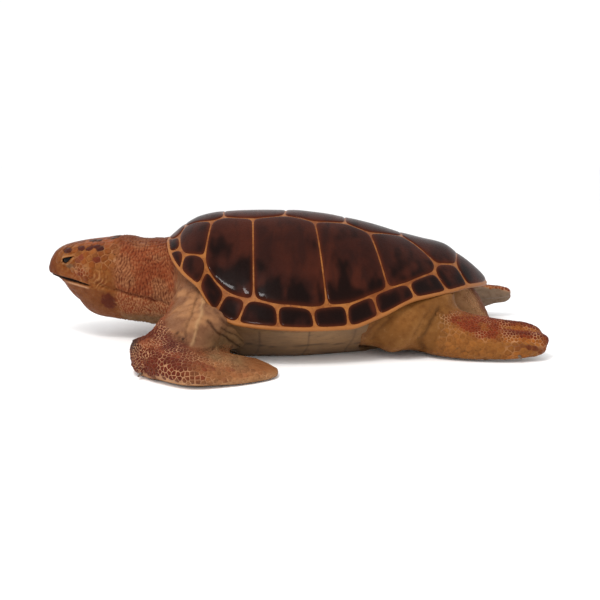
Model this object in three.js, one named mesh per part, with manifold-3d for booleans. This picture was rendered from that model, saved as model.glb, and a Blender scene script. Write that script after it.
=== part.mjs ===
// A life-size loggerhead turtle (Caretta caretta) lying on its plastron with its flippers swept back.
// Millimetres, +Z up. The head points along -X, so the animal's left side is -Y. The floor is z = 0.
// Each named mesh is one closed solid: shell plates, carapace, plastron, the flesh parts, eyes and claws.

import * as THREE from 'three';
import { mergeVertices } from 'three/addons/utils/BufferGeometryUtils.js';
import Module from 'manifold-3d';

const wasm = await Module();
wasm.setup();

// ---------------------------------------------------------------- driving dimensions

const SHELL_FRONT = -371; // x of the carapace's front edge on the midline
const SHELL_BACK = 546; // x of its rear tip
const SHELL_HALF_WIDTH = 360; // at the widest
const SHELL_LENGTH = SHELL_BACK - SHELL_FRONT;
const ORIGIN_SHIFT = 18.08; // moves the design frame so that the origin lies under the animal's middle

const GAP = 0.35; // clearance between solids that touch
const PLATE_RISE = 3; // how far a shell plate's edge stands above the carapace
const PLATE_CROWN = 2; // how much further its middle stands
const SEAM_HALF = 5; // half the width of the seam between two plates
const RIM_LINE = 5; // width of carapace that shows between the marginal plates and the rim
const RIM_THICKNESS = 9;
const CARAPACE_THICKNESS = 13;
const PLASTRON_THICKNESS = 13;
const PLASTRON_BED = 4; // clearance between the plastron's inner face and the flesh

const EYE = { x: -659, y: 55, z: 236, radius: 16 };

// Height of the carapace on its midline, and of its rim, against x.
const MIDLINE_HEIGHT = [
  [-371, 299], [-362, 303], [-332, 327], [-283, 351], [-220, 363], [-128, 366], [-36, 366.5], [56, 358],
  [130, 346], [204, 328], [293, 302], [350, 287], [415, 271], [456, 244], [488, 221], [525, 189], [546, 165],
];
const RIM_HEIGHT = [
  [-371, 299], [-366, 295], [-352, 272], [-310, 232], [-261, 200], [-238, 166], [-215, 138], [-159, 113],
  [-53, 105], [40, 102], [124, 103], [203, 126], [302, 163], [394, 171], [461, 176], [546, 165],
];

// Plates: where their seams meet, as [x, y] on the right half seen from above.
// Seams between vertebral plates.
const V_SEAM = [[-322, 58], [-213, 68], [-45, 67], [126, 69], [287, 50], [432, 112]];
const V_MIDLINE = [-331, -220, -40, 130, 293, 456]; // the same seams on the midline
const V_CORNER = [[-244, 89], [-131, 84], [40, 90], [192, 93], [371, 143]]; // where costal seams meet them
const C_CORNER = [[-252, 216], [-118, 297], [69, 303], [230, 250]]; // outer ends of the costal seams
const M_CORNER = [
  [-333, 108], [-322, 168], [-308, 196], [-245, 238], [-191, 277], [-136, 295], [-58, 310], [30, 311],
  [118, 292], [189, 266], [284, 231], [363, 172], [432, 112], [456, 0],
]; // inner ends of the marginal seams, front to back
const M_RIM_X = [-368.6, -352, -312, -261, -215, -159, -53, 40, 124, 203, 302, 394, 461, 546]; // outer ends
const COSTAL_OF_MARGINAL = { 3: 0, 6: 1, 8: 2, 10: 3 }; // marginals whose inner edge holds a costal corner

// Plastron and bridge: outline of the right half, and half-width of the part that lies flat on the floor.
const PLASTRON_OUTLINE = [
  [-322, 0], [-312, 75], [-270, 135], [-215, 180], [-170, 212], [-160, 246], [-180, 284], [-196, 318],
  [-159, 334], [-53, 348], [40, 347], [124, 332], [178, 316], [163, 268], [152, 222], [190, 168], [262, 138],
  [330, 100], [372, 50], [382, 0],
];
const FLAT_HALF_WIDTH = [
  [-371, 150], [-230, 215], [-133, 238], [-27, 236], [81, 212], [164, 186], [220, 170], [400, 150],
];

// Stations of the soft parts. Head and neck, and trunk:
// x, top, bottom, height of the widest line, half-width, squareness above and below it.
const HEAD_NECK = [
  [-733, 207, 196, 202, 9, 2, 2],
  [-726, 230, 182, 205, 26, 2.1, 2.1],
  [-708, 257, 173, 212, 41, 2.2, 2.2],
  [-684, 270, 154, 217, 55, 2.4, 2.2],
  [-652, 278, 109, 216, 70, 2.5, 2],
  [-612, 286, 75, 208, 86, 2.5, 1.9],
  [-570, 291, 58, 196, 98, 2.4, 2],
  [-508, 297, 50, 182, 106, 2.3, 2.1],
  [-450, 290, 43, 172, 115, 2.2, 2.2],
  [-395, 291, 36, 165, 128, 2.2, 2.2],
  [-330, 292, 34, 160, 136, 2.2, 2.2],
  [-280, 270, 60, 160, 110, 2.1, 2.1],
];
const TRUNK = [
  [-352, 215, 105, 165, 110, 2.2, 2.2],
  [-336, 262, 58, 178, 178, 2.3, 2.2],
  [-300, 300, 30, 172, 236, 2.4, 2.2],
  [-240, 330, 13, 142, 280, 2.5, 2.2],
  [-150, 345, 6, 100, 318, 2.5, 2.2],
  [0, 350, 6, 92, 330, 2.5, 2.2],
  [110, 335, 4, 96, 316, 2.5, 2.3],
  [200, 315, -2, 112, 288, 2.4, 2.4],
  [280, 290, -2, 132, 250, 2.4, 2.4],
  [340, 265, 6, 148, 206, 2.3, 2.3],
  [395, 235, 44, 152, 148, 2.2, 2.2],
  [432, 205, 92, 150, 92, 2.2, 2.2],
];
// Front flipper blade, right side: x, y of the leading and trailing edge, bottom, top.
const BLADE = [
  [-416, 398, 362, 36, 66],
  [-408, 424, 338, 10, 88],
  [-384, 455, 318, -1.5, 96],
  [-343, 490, 303, -2.5, 92],
  [-298, 523, 300, -2.5, 80],
  [-250, 543, 302, -2.5, 66],
  [-200, 536, 306, -2.5, 52],
  [-150, 518, 313, -2.5, 40],
  [-110, 498, 330, -2, 32],
  [-75, 474, 368, -1, 25],
  [-50, 448, 405, 3, 18],
];
// Upper arm, right side: centre x, y, z, half-width along the body, half-height.
const ARM = [
  [-196, 150, 150, 88, 62],
  [-222, 222, 134, 98, 68],
  [-260, 290, 108, 96, 60],
  [-302, 348, 80, 86, 50],
  [-334, 394, 58, 62, 38],
];
// Hind limb, right side: centre x, y, z, half-chord, half-thickness, roll in degrees (outer edge down).
const HIND = [
  [252, 130, 92, 84, 84, 8],
  [312, 168, 82, 92, 80, 16],
  [376, 216, 68, 80, 58, 32],
  [438, 246, 58, 70, 40, 42],
  [500, 260, 55, 66, 30, 43],
  [560, 264, 52, 64, 26, 42],
  [610, 261, 50, 54, 22, 40],
  [648, 257, 48, 37, 17, 38],
  [664, 255, 48, 16, 10, 36],
];
const HIND_REACH = { left: -12, right: 30 }; // how much further back each hind flipper's tip lies
const HIND_LIFT = { left: 0, right: 30 }; // and how much higher
// Web of skin between arm and bridge, right side: centre x, y, z, half-width, half-height.
const WEB = [
  [-330, 215, 150, 46, 50],
  [-285, 242, 118, 60, 82],
  [-238, 264, 90, 62, 78],
  [-190, 272, 76, 50, 60],
  [-150, 262, 68, 40, 44],
  [-116, 250, 62, 24, 30],
];
// Bulge of the thigh, right side, as for the web.
const THIGH = [
  [190, 222, 60, 34, 34],
  [225, 232, 68, 66, 62],
  [270, 230, 86, 74, 66],
  [320, 216, 112, 66, 58],
  [370, 195, 140, 50, 44],
  [410, 170, 158, 25, 25],
];
// Tail: centre x, z and radius.
const TAIL = [
  [392, 152, 56],
  [445, 140, 52],
  [492, 106, 42],
  [530, 64, 28],
  [558, 32, 15],
  [582, 15, 8],
  [598, 8, 4],
];

// ---------------------------------------------------------------- curves

// A smooth function through [x, value] pairs that adds no bumps of its own (monotone cubic).
function profile(table) {
  const n = table.length;
  const slope = table.slice(1).map(([x, v], i) => (v - table[i][1]) / (x - table[i][0]));
  const tangent = table.map((_, i) => {
    if (i === 0) return slope[0];
    if (i === n - 1) return slope[n - 2];
    const [a, b] = [slope[i - 1], slope[i]];
    return a * b <= 0 ? 0 : (2 * a * b) / (a + b);
  });
  return (x) => {
    const c = THREE.MathUtils.clamp(x, table[0][0], table[n - 1][0]);
    let i = 0;
    while (i < n - 2 && c > table[i + 1][0]) i += 1;
    const width = table[i + 1][0] - table[i][0];
    const t = (c - table[i][0]) / width;
    return (
      table[i][1] * (1 + 2 * t) * (1 - t) ** 2 +
      table[i + 1][1] * t * t * (3 - 2 * t) +
      width * (tangent[i] * t * (1 - t) ** 2 + tangent[i + 1] * t * t * (t - 1))
    );
  };
}

// Rows of numbers between the stations of a loft, by Catmull-Rom.
function refine(rows, steps) {
  const out = [];
  for (let i = 0; i < rows.length - 1; i += 1) {
    const [b, c] = [rows[i], rows[i + 1]];
    const [a, d] = [rows[Math.max(i - 1, 0)], rows[Math.min(i + 2, rows.length - 1)]];
    for (let k = 0; k < steps; k += 1) {
      const t = k / steps;
      out.push(
        b.map((_, j) => {
          const [m0, m1] = [(c[j] - a[j]) / 2, (d[j] - b[j]) / 2];
          return (
            b[j] * (1 + 2 * t) * (1 - t) ** 2 +
            c[j] * t * t * (3 - 2 * t) +
            m0 * t * (1 - t) ** 2 +
            m1 * t * t * (t - 1)
          );
        }),
      );
    }
  }
  out.push(rows[rows.length - 1]);
  return out;
}

// ---------------------------------------------------------------- the shell's form

const midlineHeight = profile(MIDLINE_HEIGHT);
const rimHeight = profile(RIM_HEIGHT);
const flatHalfWidth = profile(FLAT_HALF_WIDTH);

// Half-width of the heart-shaped carapace at x.
function halfWidth(x) {
  const u = THREE.MathUtils.clamp((x - SHELL_FRONT) / SHELL_LENGTH, 0, 1);
  return (SHELL_HALF_WIDTH * u ** 0.35 * (1 - u) ** 0.6) / 0.5351;
}

// Height of the carapace's surface at x, y: a dome that flares at its rim.
function domeHeight(x, y) {
  const across = Math.min(Math.abs(y) / Math.max(halfWidth(x), 1e-6), 1);
  const crown = (1 - across ** 2.2) ** 1.35;
  return rimHeight(x) * (1 - crown) + midlineHeight(x) * crown;
}

function domeNormal(x, y) {
  const d = 2;
  const xs = [Math.max(x - d, SHELL_FRONT + 1), Math.min(x + d, SHELL_BACK - 1)];
  const slopeX = (domeHeight(xs[1], y) - domeHeight(xs[0], y)) / (xs[1] - xs[0]);
  const slopeY = (domeHeight(x, y + d) - domeHeight(x, y - d)) / (2 * d);
  return new THREE.Vector3(-slopeX, -slopeY, 1).normalize();
}

// A point a distance off the carapace's surface.
function offDome(x, y, rise) {
  return new THREE.Vector3(x, y, domeHeight(x, y)).addScaledVector(domeNormal(x, y), rise);
}

// The right half of the rim from the front of the midline to its back, evenly spaced.
const halfRim = (() => {
  const dense = [];
  for (let i = 0; i <= 900; i += 1) {
    const x = SHELL_FRONT + (SHELL_LENGTH * (1 - Math.cos((Math.PI * i) / 900))) / 2;
    dense.push(new THREE.Vector3(x, halfWidth(x), 0));
  }
  const curve = new THREE.CurvePath();
  for (let i = 0; i < 900; i += 1) curve.add(new THREE.LineCurve3(dense[i], dense[i + 1]));
  return curve;
})();

function rimBetween(xa, xb, count) {
  const points = halfRim.getSpacedPoints(600).filter((p) => p.x >= xa && p.x <= xb);
  const picked = [];
  for (let i = 0; i < count; i += 1) picked.push(points[Math.round((i * (points.length - 1)) / (count - 1))]);
  return picked.map((p) => [p.x, p.y]);
}

// Height of the underside: flat in the middle and curving up to the rim at the bridge.
function bellyHeight(x, y) {
  const [inner, outer] = [flatHalfWidth(x), halfWidth(x) - 8];
  const t = THREE.MathUtils.clamp((Math.abs(y) - inner) / Math.max(outer - inner, 1), 0, 1);
  return (rimHeight(x) - RIM_THICKNESS - GAP) * t ** 1.25;
}

// ---------------------------------------------------------------- solids

function toManifold(geometry) {
  const bare = geometry.clone();
  bare.deleteAttribute('normal');
  bare.deleteAttribute('uv');
  const merged = mergeVertices(bare, 1e-3);
  const mesh = new wasm.Mesh({
    numProp: 3,
    vertProperties: merged.attributes.position.array,
    triVerts: new Uint32Array(merged.index.array),
  });
  return new wasm.Manifold(mesh);
}

function toGeometry(solid) {
  const mesh = solid.getMesh();
  return new THREE.BufferGeometry()
    .setAttribute('position', new THREE.BufferAttribute(new Float32Array(mesh.vertProperties), 3))
    .setIndex(new THREE.BufferAttribute(new Uint32Array(mesh.triVerts), 1));
}

// The largest of a solid's bodies: a cut can leave crumbs.
function largest(solid) {
  return solid.decompose().reduce((best, body) => (body.volume() > best.volume() ? body : best));
}

function indexed(points, triangles) {
  const geometry = new THREE.BufferGeometry().setFromPoints(points);
  geometry.setIndex(triangles.flat());
  return mergeVertices(geometry, 1e-3);
}

function centroid(points) {
  return points.reduce((sum, p) => sum.add(p), new THREE.Vector3()).divideScalar(points.length);
}

// Triangles between two rings of n points that start at vertices a and b.
function band(a, b, n, flip = false) {
  const out = [];
  for (let k = 0; k < n; k += 1) {
    const m = (k + 1) % n;
    const quad = [[a + k, a + m, b + m], [a + k, b + m, b + k]];
    quad.forEach((t) => out.push(flip ? [t[0], t[2], t[1]] : t));
  }
  return out;
}

function fan(ring, centre, n, flip = false) {
  return Array.from({ length: n }, (_, k) => {
    const next = ring + ((k + 1) % n);
    return flip ? [ring + k, centre, next] : [ring + k, next, centre];
  });
}

// A closed body through rings of points, with a point at each end.
function ringSolid(rings) {
  const n = rings[0].length;
  const points = rings.flat();
  const triangles = [];
  for (let i = 0; i < rings.length - 1; i += 1) triangles.push(...band(i * n, (i + 1) * n, n));
  points.push(centroid(rings[0]), centroid(rings[rings.length - 1]));
  triangles.push(...fan(0, points.length - 2, n, true), ...fan((rings.length - 1) * n, points.length - 1, n));
  const solid = toManifold(indexed(points, triangles));
  return solid.volume() > 0 ? solid : toManifold(indexed(points, triangles.map(([a, b, c]) => [a, c, b])));
}

// A ring of n points from a centre and four half-axes, each half a superellipse.
function section(centre, right, left, up, down, squareUp, squareDown, n) {
  return Array.from({ length: n }, (_, k) => {
    const angle = (2 * Math.PI * k) / n;
    const [c, s] = [Math.cos(angle), Math.sin(angle)];
    const power = 2 / (s > 0 ? squareUp : squareDown);
    return centre
      .clone()
      .addScaledVector(c > 0 ? right : left, Math.abs(c) ** power)
      .addScaledVector(s > 0 ? up : down, Math.abs(s) ** power);
  });
}

// Head and neck, or trunk, from their stations; grow makes it that much fatter.
function bodyLoft(stations, steps, n, grow = 0) {
  const rings = refine(stations, steps).map(([x, top, bottom, wide, half, squareUp, squareDown]) =>
    section(
      new THREE.Vector3(x, 0, wide),
      new THREE.Vector3(0, half + grow, 0),
      new THREE.Vector3(0, -half - grow, 0),
      new THREE.Vector3(0, 0, top - wide + grow),
      new THREE.Vector3(0, 0, bottom - wide - grow),
      squareUp,
      squareDown,
      n,
    ),
  );
  if (grow) {
    rings[0].forEach((p) => (p.x -= grow));
    rings[rings.length - 1].forEach((p) => (p.x += grow));
  }
  return ringSolid(rings);
}

// A limb or tail whose sections stand square to its path.
function pathLoft(rows, toShape, n) {
  const centres = rows.map((row) => toShape(row).centre);
  const rings = rows.map((row, i) => {
    const { wide, high, roll } = toShape(row);
    const [before, after] = [centres[Math.max(i - 1, 0)], centres[Math.min(i + 1, rows.length - 1)]];
    const tangent = after.clone().sub(before).normalize();
    const side = new THREE.Vector3(0, 0, 1).cross(tangent).normalize().applyAxisAngle(tangent, roll);
    const up = tangent.clone().cross(side);
    const across = side.clone().multiplyScalar(wide);
    const tall = up.clone().multiplyScalar(high);
    return section(centres[i], across, across.clone().negate(), tall, tall.clone().negate(), 2, 2, n);
  });
  return ringSolid(rings);
}

// ---------------------------------------------------------------- shell plates

const mirrorY = (points) => points.map(([x, y]) => [x, -y]);
// A right-half chain, from the midline out and back, closed by its mirror image.
const bothHalves = (chain) => [...chain, ...mirrorY(chain).reverse()];

// Each plate's corners, seen from above.
function plateCorners() {
  const plates = new Map();
  const nuchalRim = rimBetween(SHELL_FRONT + 0.01, M_RIM_X[0], 4);
  plates.set('nuchal_plate', bothHalves([...nuchalRim, M_CORNER[0], V_SEAM[0], [V_MIDLINE[0], 6]]));
  for (let i = 0; i < 5; i += 1) {
    const chain = [[V_MIDLINE[i], 6], V_SEAM[i], V_CORNER[i], V_SEAM[i + 1], [V_MIDLINE[i + 1], 6]];
    plates.set(`vertebral_plate_${i + 1}`, bothHalves(chain));
  }
  const costals = [
    [V_SEAM[0], M_CORNER[0], M_CORNER[1], M_CORNER[2], C_CORNER[0], V_CORNER[0]],
    [V_CORNER[0], C_CORNER[0], M_CORNER[3], M_CORNER[4], M_CORNER[5], C_CORNER[1], V_CORNER[1], V_SEAM[1]],
    [V_CORNER[1], C_CORNER[1], M_CORNER[6], M_CORNER[7], C_CORNER[2], V_CORNER[2], V_SEAM[2]],
    [V_CORNER[2], C_CORNER[2], M_CORNER[8], M_CORNER[9], C_CORNER[3], V_CORNER[3], V_SEAM[3]],
    [V_CORNER[3], C_CORNER[3], M_CORNER[10], M_CORNER[11], V_CORNER[4], V_SEAM[4]],
  ];
  const marginals = M_CORNER.slice(1).map((inner, i) => {
    const costal = COSTAL_OF_MARGINAL[i + 1];
    const extra = costal === undefined ? [] : [C_CORNER[costal]];
    if (i === 11) extra.push(V_CORNER[4]);
    return [...rimBetween(M_RIM_X[i], M_RIM_X[i + 1], 5), inner, ...extra, M_CORNER[i]];
  });
  [['right', (p) => p], ['left', mirrorY]].forEach(([side, place]) => {
    costals.forEach((corners, i) => plates.set(`costal_plate_${i + 1}_${side}`, place(corners)));
    marginals.forEach((corners, i) => plates.set(`marginal_plate_${i + 1}_${side}`, place(corners)));
  });
  return plates;
}

// A closed chain of points every spacing or so.
function walk(points, spacing) {
  const out = [];
  points.forEach((p, i) => {
    const q = points[(i + 1) % points.length];
    const steps = Math.max(1, Math.round(Math.hypot(q[0] - p[0], q[1] - p[1]) / spacing));
    for (let k = 0; k < steps; k += 1) {
      const t = k / steps;
      out.push([p[0] + (q[0] - p[0]) * t, p[1] + (q[1] - p[1]) * t]);
    }
  });
  return out;
}

function signedArea(points) {
  return THREE.ShapeUtils.area(points.map(([x, y]) => new THREE.Vector2(x, y)));
}

// A counter-clockwise chain moved inwards by a distance that may depend on the point.
function inset(points, reach, distance) {
  const n = points.length;
  return points.map((p, i) => {
    const [a, b] = [points[(i + n - reach) % n], points[(i + reach) % n]];
    const share = distance(p) / (Math.hypot(b[0] - a[0], b[1] - a[1]) || 1);
    return [p[0] - (b[1] - a[1]) * share, p[1] + (b[0] - a[0]) * share];
  });
}

function soften(points) {
  const n = points.length;
  return points.map((p, i) => {
    const [a, b] = [points[(i + n - 1) % n], points[(i + 1) % n]];
    return [(a[0] + p[0] * 2 + b[0]) / 4, (a[1] + p[1] * 2 + b[1]) / 4];
  });
}

// A plate's outline: its corners drawn in by half a seam, rounded, and thinned to a few points.
function plateOutline(corners) {
  const chain = signedArea(corners) > 0 ? corners : [...corners].reverse();
  const atRim = ([x, y]) => Math.abs(Math.abs(y) - halfWidth(x)) < 1.5 || x < SHELL_FRONT + 4;
  let dense = inset(walk(chain, 6), 2, (p) => (atRim(p) ? RIM_LINE : SEAM_HALF));
  for (let pass = 0; pass < 5; pass += 1) dense = soften(dense);
  const n = dense.length;
  const count = Math.min(16, Math.max(8, Math.round(n / 7)));
  return Array.from({ length: count }, (_, k) => dense[Math.round((k * n) / count) % n]);
}

const outlines = new Map([...plateCorners()].map(([name, corners]) => [name, plateOutline(corners)]));

function planCentre(outline) {
  return outline.reduce((sum, p) => [sum[0] + p[0] / outline.length, sum[1] + p[1] / outline.length], [0, 0]);
}

// The outline drawn in towards its centre, laid at a height off the dome.
function plateRing(outline, share, rise) {
  const [cx, cy] = planCentre(outline);
  return outline.map(([x, y]) => offDome(cx + (x - cx) * share, cy + (y - cy) * share, rise));
}

const LARGE_PLATE = 12; // points in the outline of a plate that needs a ring between its edge and centre

// One shell plate: its underside follows the carapace, its top is crowned.
function plateSolid(outline) {
  const n = outline.length;
  const large = n >= LARGE_PLATE;
  const [cx, cy] = planCentre(outline);
  const rings = [plateRing(outline, 1, GAP), plateRing(outline, 1, GAP + PLATE_RISE)];
  rings.push(plateRing(outline, large ? 0.62 : 0.74, GAP + PLATE_RISE + PLATE_CROWN * 0.75));
  const points = rings.flat();
  const triangles = [];
  for (let i = 0; i < rings.length - 1; i += 1) triangles.push(...band(i * n, (i + 1) * n, n));
  points.push(offDome(cx, cy, GAP + PLATE_RISE + PLATE_CROWN));
  triangles.push(...fan((rings.length - 1) * n, points.length - 1, n));
  if (large) {
    const inner = points.length;
    points.push(...plateRing(outline, 0.5, GAP));
    triangles.push(...band(0, inner, n, true));
    points.push(offDome(cx, cy, GAP));
    triangles.push(...fan(inner, points.length - 1, n, true));
  } else {
    points.push(offDome(cx, cy, GAP));
    triangles.push(...fan(0, points.length - 1, n, true));
  }
  return indexed(points, triangles);
}

// ---------------------------------------------------------------- carapace

const rimLoop = (() => {
  const right = halfRim.getSpacedPoints(23).map((p) => [p.x, p.y]);
  const inner = right.slice(1, -1);
  return [right[0], ...mirrorY(inner), right.at(-1), ...inner.reverse()];
})();
const DOME_CENTRE = [60, 0];

// Rings of the carapace's underside from the rim inwards, lowered and widened by grow.
function undersideRings(grow) {
  return [1, 0.93, 0.76, 0.4].map((share) =>
    rimLoop.map(([x, y]) => {
      const [px, py] = [DOME_CENTRE[0] + (x - DOME_CENTRE[0]) * share, y * share];
      const widen = share === 1 ? 1 + grow / Math.hypot(px - DOME_CENTRE[0], py) : 1;
      const slanted = CARAPACE_THICKNESS / Math.max(domeNormal(px, py).z, 0.5);
      const thickness = share === 1 ? RIM_THICKNESS : slanted;
      const z = domeHeight(px, py) - thickness - grow;
      return new THREE.Vector3(DOME_CENTRE[0] + (px - DOME_CENTRE[0]) * widen, py * widen, z);
    }),
  );
}

// Swaps the diagonals of a flat triangulation until none of its free edges is a poor one (Delaunay).
function relax(plan, triangles) {
  const angle = (a, b, c) => {
    const [u, v] = [plan[b].clone().sub(plan[a]), plan[c].clone().sub(plan[a])];
    return Math.abs(Math.atan2(u.cross(v), u.dot(v)));
  };
  let swaps = 1;
  while (swaps > 0) {
    swaps = 0;
    const owners = new Map();
    triangles.forEach((t, i) => {
      t.forEach((a, k) => {
        const b = t[(k + 1) % 3];
        const edge = Math.min(a, b) * plan.length + Math.max(a, b);
        owners.set(edge, [...(owners.get(edge) ?? []), [i, k]]);
      });
    });
    const done = new Set();
    [...owners.values()].filter((pair) => pair.length === 2).forEach(([[i, k], [j, m]]) => {
      if (done.has(i) || done.has(j)) return;
      const [a, b, c] = [0, 1, 2].map((step) => triangles[i][(k + step) % 3]);
      const d = triangles[j][(m + 2) % 3];
      if (angle(c, a, b) + angle(d, a, b) < Math.PI + 1e-6) return;
      triangles[i] = [c, a, d];
      triangles[j] = [d, b, c];
      [i, j].forEach((t) => done.add(t));
      swaps += 1;
    });
  }
  return triangles;
}

// The carapace: seams between the plates, a floor under each plate, the rim and the underside.
function carapaceGeometry() {
  const rim = rimLoop.map(([x, y]) => new THREE.Vector2(x, y));
  const holes = [...outlines.values()].map((outline) => outline.map(([x, y]) => new THREE.Vector2(x, y)));
  const plan = [rim, ...holes].flat();
  const points = plan.map((p) => new THREE.Vector3(p.x, p.y, domeHeight(p.x, p.y)));
  const seams = THREE.ShapeUtils.triangulateShape(rim, holes).map(([a, b, c]) => {
    const facesUp = plan[b].clone().sub(plan[a]).cross(plan[c].clone().sub(plan[a])) > 0;
    return facesUp ? [a, b, c] : [a, c, b];
  });
  const triangles = relax(plan, seams);
  let start = rim.length;
  outlines.forEach((outline) => {
    const n = outline.length;
    let ring = start;
    if (n >= LARGE_PLATE) {
      ring = points.length;
      points.push(...plateRing(outline, 0.5, 0));
      triangles.push(...band(start, ring, n));
    }
    points.push(offDome(...planCentre(outline), 0));
    triangles.push(...fan(ring, points.length - 1, n));
    start += n;
  });
  const n = rim.length;
  let ring = 0;
  undersideRings(0).forEach((next) => {
    triangles.push(...band(ring, points.length, n, true));
    ring = points.length;
    points.push(...next);
  });
  points.push(centroid(points.slice(ring)));
  triangles.push(...fan(ring, points.length - 1, n, true));
  return indexed(points, triangles);
}

// Everything from just below the carapace's underside upwards, for cutting the flesh beneath it.
function domeCutter() {
  const rings = undersideRings(GAP);
  return ringSolid([rings[0].map((p) => p.clone().setZ(700)), ...rings]);
}

// ---------------------------------------------------------------- plastron and bridge

// The plastron's dish; as a cutter it is grown, and open downwards.
function plastronSolid(asCutter = false) {
  const chain = PLASTRON_OUTLINE.slice(1, -1);
  const loop = [PLASTRON_OUTLINE[0], ...mirrorY(chain), PLASTRON_OUTLINE.at(-1), ...[...chain].reverse()];
  const outline = walk(loop, 60);
  const edge = asCutter ? inset(outline, 1, () => -1.5 * GAP) : outline;
  const bottom = asCutter ? () => -100 : bellyHeight;
  const top = (x, y) => bellyHeight(x, y) + PLASTRON_THICKNESS + (asCutter ? PLASTRON_BED : 0);
  const level = (share, height) =>
    outline.map(([x, y], i) => {
      const [px, py] = share === 1 ? edge[i] : [x * share, y * share];
      return new THREE.Vector3(px, py, height(x * share, y * share));
    });
  const shares = [1, 0.88, 0.7, 0.35];
  return ringSolid([
    ...[...shares].reverse().map((share) => level(share, bottom)),
    ...shares.map((share) => level(share, top)),
  ]);
}

// ---------------------------------------------------------------- flesh

const onSide = (geometry, side) => (side === 'right' ? geometry : geometry.mirror([0, 1, 0]));
const floorCut = (solid) => solid.trimByPlane([0, 0, 1], 0);

const carapaceCutter = domeCutter();
const plastronCutter = plastronSolid(true);
const without = (solid, cutters) => cutters.reduce((left, cutter) => left.subtract(cutter), solid);
const fleshCut = (solid, ...others) => without(solid, [carapaceCutter, plastronCutter, ...others]);

const trunkGrown = bodyLoft(TRUNK, 1, 20, GAP);
const neckGrown = bodyLoft(HEAD_NECK, 2, 16, GAP);

function trunkSolid() {
  return largest(floorCut(fleshCut(bodyLoft(TRUNK, 1, 20))));
}

// Head, jaw and neck are one form, parted by thin plane cuts.
const NECK_CUT = {
  normal: new THREE.Vector3(1, 0, -0.22).normalize(),
  through: new THREE.Vector3(-541, 0, 170),
};
const MOUTH_CUT = {
  normal: new THREE.Vector3(0.095, 0, 1).normalize(),
  through: new THREE.Vector3(-716, 0, 181),
};
const CHIN_CUT = {
  normal: new THREE.Vector3(1, 0, -0.62).normalize(),
  through: new THREE.Vector3(-586, 0, 168),
};

function half(solid, cut, sign) {
  const normal = cut.normal.clone().multiplyScalar(sign);
  return solid.trimByPlane(normal.toArray(), normal.dot(cut.through) + GAP / 2);
}

function eyeGeometry(side, grow = 0) {
  const ball = new THREE.SphereGeometry(EYE.radius + grow, 12, 8);
  return ball.translate(EYE.x, side === 'right' ? EYE.y : -EYE.y, EYE.z);
}

function headAndNeck() {
  const whole = bodyLoft(HEAD_NECK, 2, 16);
  const neck = largest(fleshCut(half(whole, NECK_CUT, 1), trunkGrown));
  const front = half(whole, NECK_CUT, -1);
  const jaw = largest(half(half(front, MOUTH_CUT, -1), CHIN_CUT, -1));
  const sockets = ['right', 'left'].map((side) => toManifold(eyeGeometry(side, GAP)));
  const rest = half(front, MOUTH_CUT, 1).add(half(front, CHIN_CUT, 1));
  const head = largest(sockets.reduce((left, socket) => left.subtract(socket), rest));
  return { head, jaw, neck };
}

// A limb without roll, from rows of centre x, y, z, half-width and half-height.
function levelLoft(table, grow) {
  return pathLoft(
    table,
    ([x, y, z, wide, high]) => ({
      centre: new THREE.Vector3(x, y, z),
      wide: wide + grow,
      high: high + grow,
      roll: 0,
    }),
    14,
  );
}

// Front flipper: the blade, the upper arm and the web behind it joined.
function frontFlipperSolid(side, grow = 0) {
  const rings = refine(BLADE, 2).map(([x, lead, trail, bottom, top]) => {
    const thick = lead - (lead - trail) * 0.38; // y of the thickest line, nearer the leading edge
    const middle = bottom + (top - bottom) * 0.42;
    return section(
      new THREE.Vector3(x, thick, middle),
      new THREE.Vector3(0, lead - thick + grow, 0),
      new THREE.Vector3(0, trail - thick - grow, 0),
      new THREE.Vector3(0, 0, top - middle + grow),
      new THREE.Vector3(0, 0, bottom - middle - grow),
      1.75,
      2.6,
      14,
    );
  });
  return onSide(ringSolid(rings).add(levelLoft(ARM, grow)).add(levelLoft(WEB, grow)), side);
}

// A point of the hind limb moved by that side's reach and lift, which grow towards the tip.
function placeOnHind([x, y, z], side) {
  const share = ((x - HIND[0][0]) / (HIND.at(-1)[0] - HIND[0][0])) ** 2;
  return [x + HIND_REACH[side] * share, y, z + HIND_LIFT[side] * share];
}

function hindFlipperSolid(side, grow = 0) {
  const limb = pathLoft(
    refine(HIND, 2).map(([x, y, z, ...rest]) => [...placeOnHind([x, y, z], side), ...rest]),
    ([x, y, z, wide, high, roll]) => ({
      centre: new THREE.Vector3(x, y, z),
      wide: wide + grow,
      high: high + grow,
      roll: THREE.MathUtils.degToRad(-roll),
    }),
    14,
  );
  return onSide(limb.add(levelLoft(THIGH, grow)), side);
}

function tailSolid(grow = 0) {
  return pathLoft(
    refine(TAIL, 2),
    ([x, z, radius]) => ({
      centre: new THREE.Vector3(x, 0, z),
      wide: radius + grow,
      high: radius * 0.92 + grow,
      roll: 0,
    }),
    12,
  );
}

// Claws: short bent cones on the leading edge of each flipper.
const CLAWS = {
  front: { base: [-366, 434, 22], tip: [-386, 460, 9], radius: 6.5 },
  hind: { base: [566, 298, 20], tip: [584, 321, 8], radius: 6 },
};

function clawSolid(limb, side) {
  const { base, tip, radius } = CLAWS[limb];
  const [a, b] = [base, tip].map((p) => new THREE.Vector3(...(limb === 'hind' ? placeOnHind(p, side) : p)));
  const bend = a.clone().lerp(b, 0.55).add(new THREE.Vector3(0, 0, 2));
  const rows = [[...a, radius], [...bend, radius * 0.72], [...b, radius * 0.16]];
  const claw = pathLoft(
    refine(rows, 2),
    ([x, y, z, r]) => ({ centre: new THREE.Vector3(x, y, z), wide: r, high: r * 0.8, roll: 0 }),
    8,
  );
  return onSide(claw, side);
}

// ---------------------------------------------------------------- the animal

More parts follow.
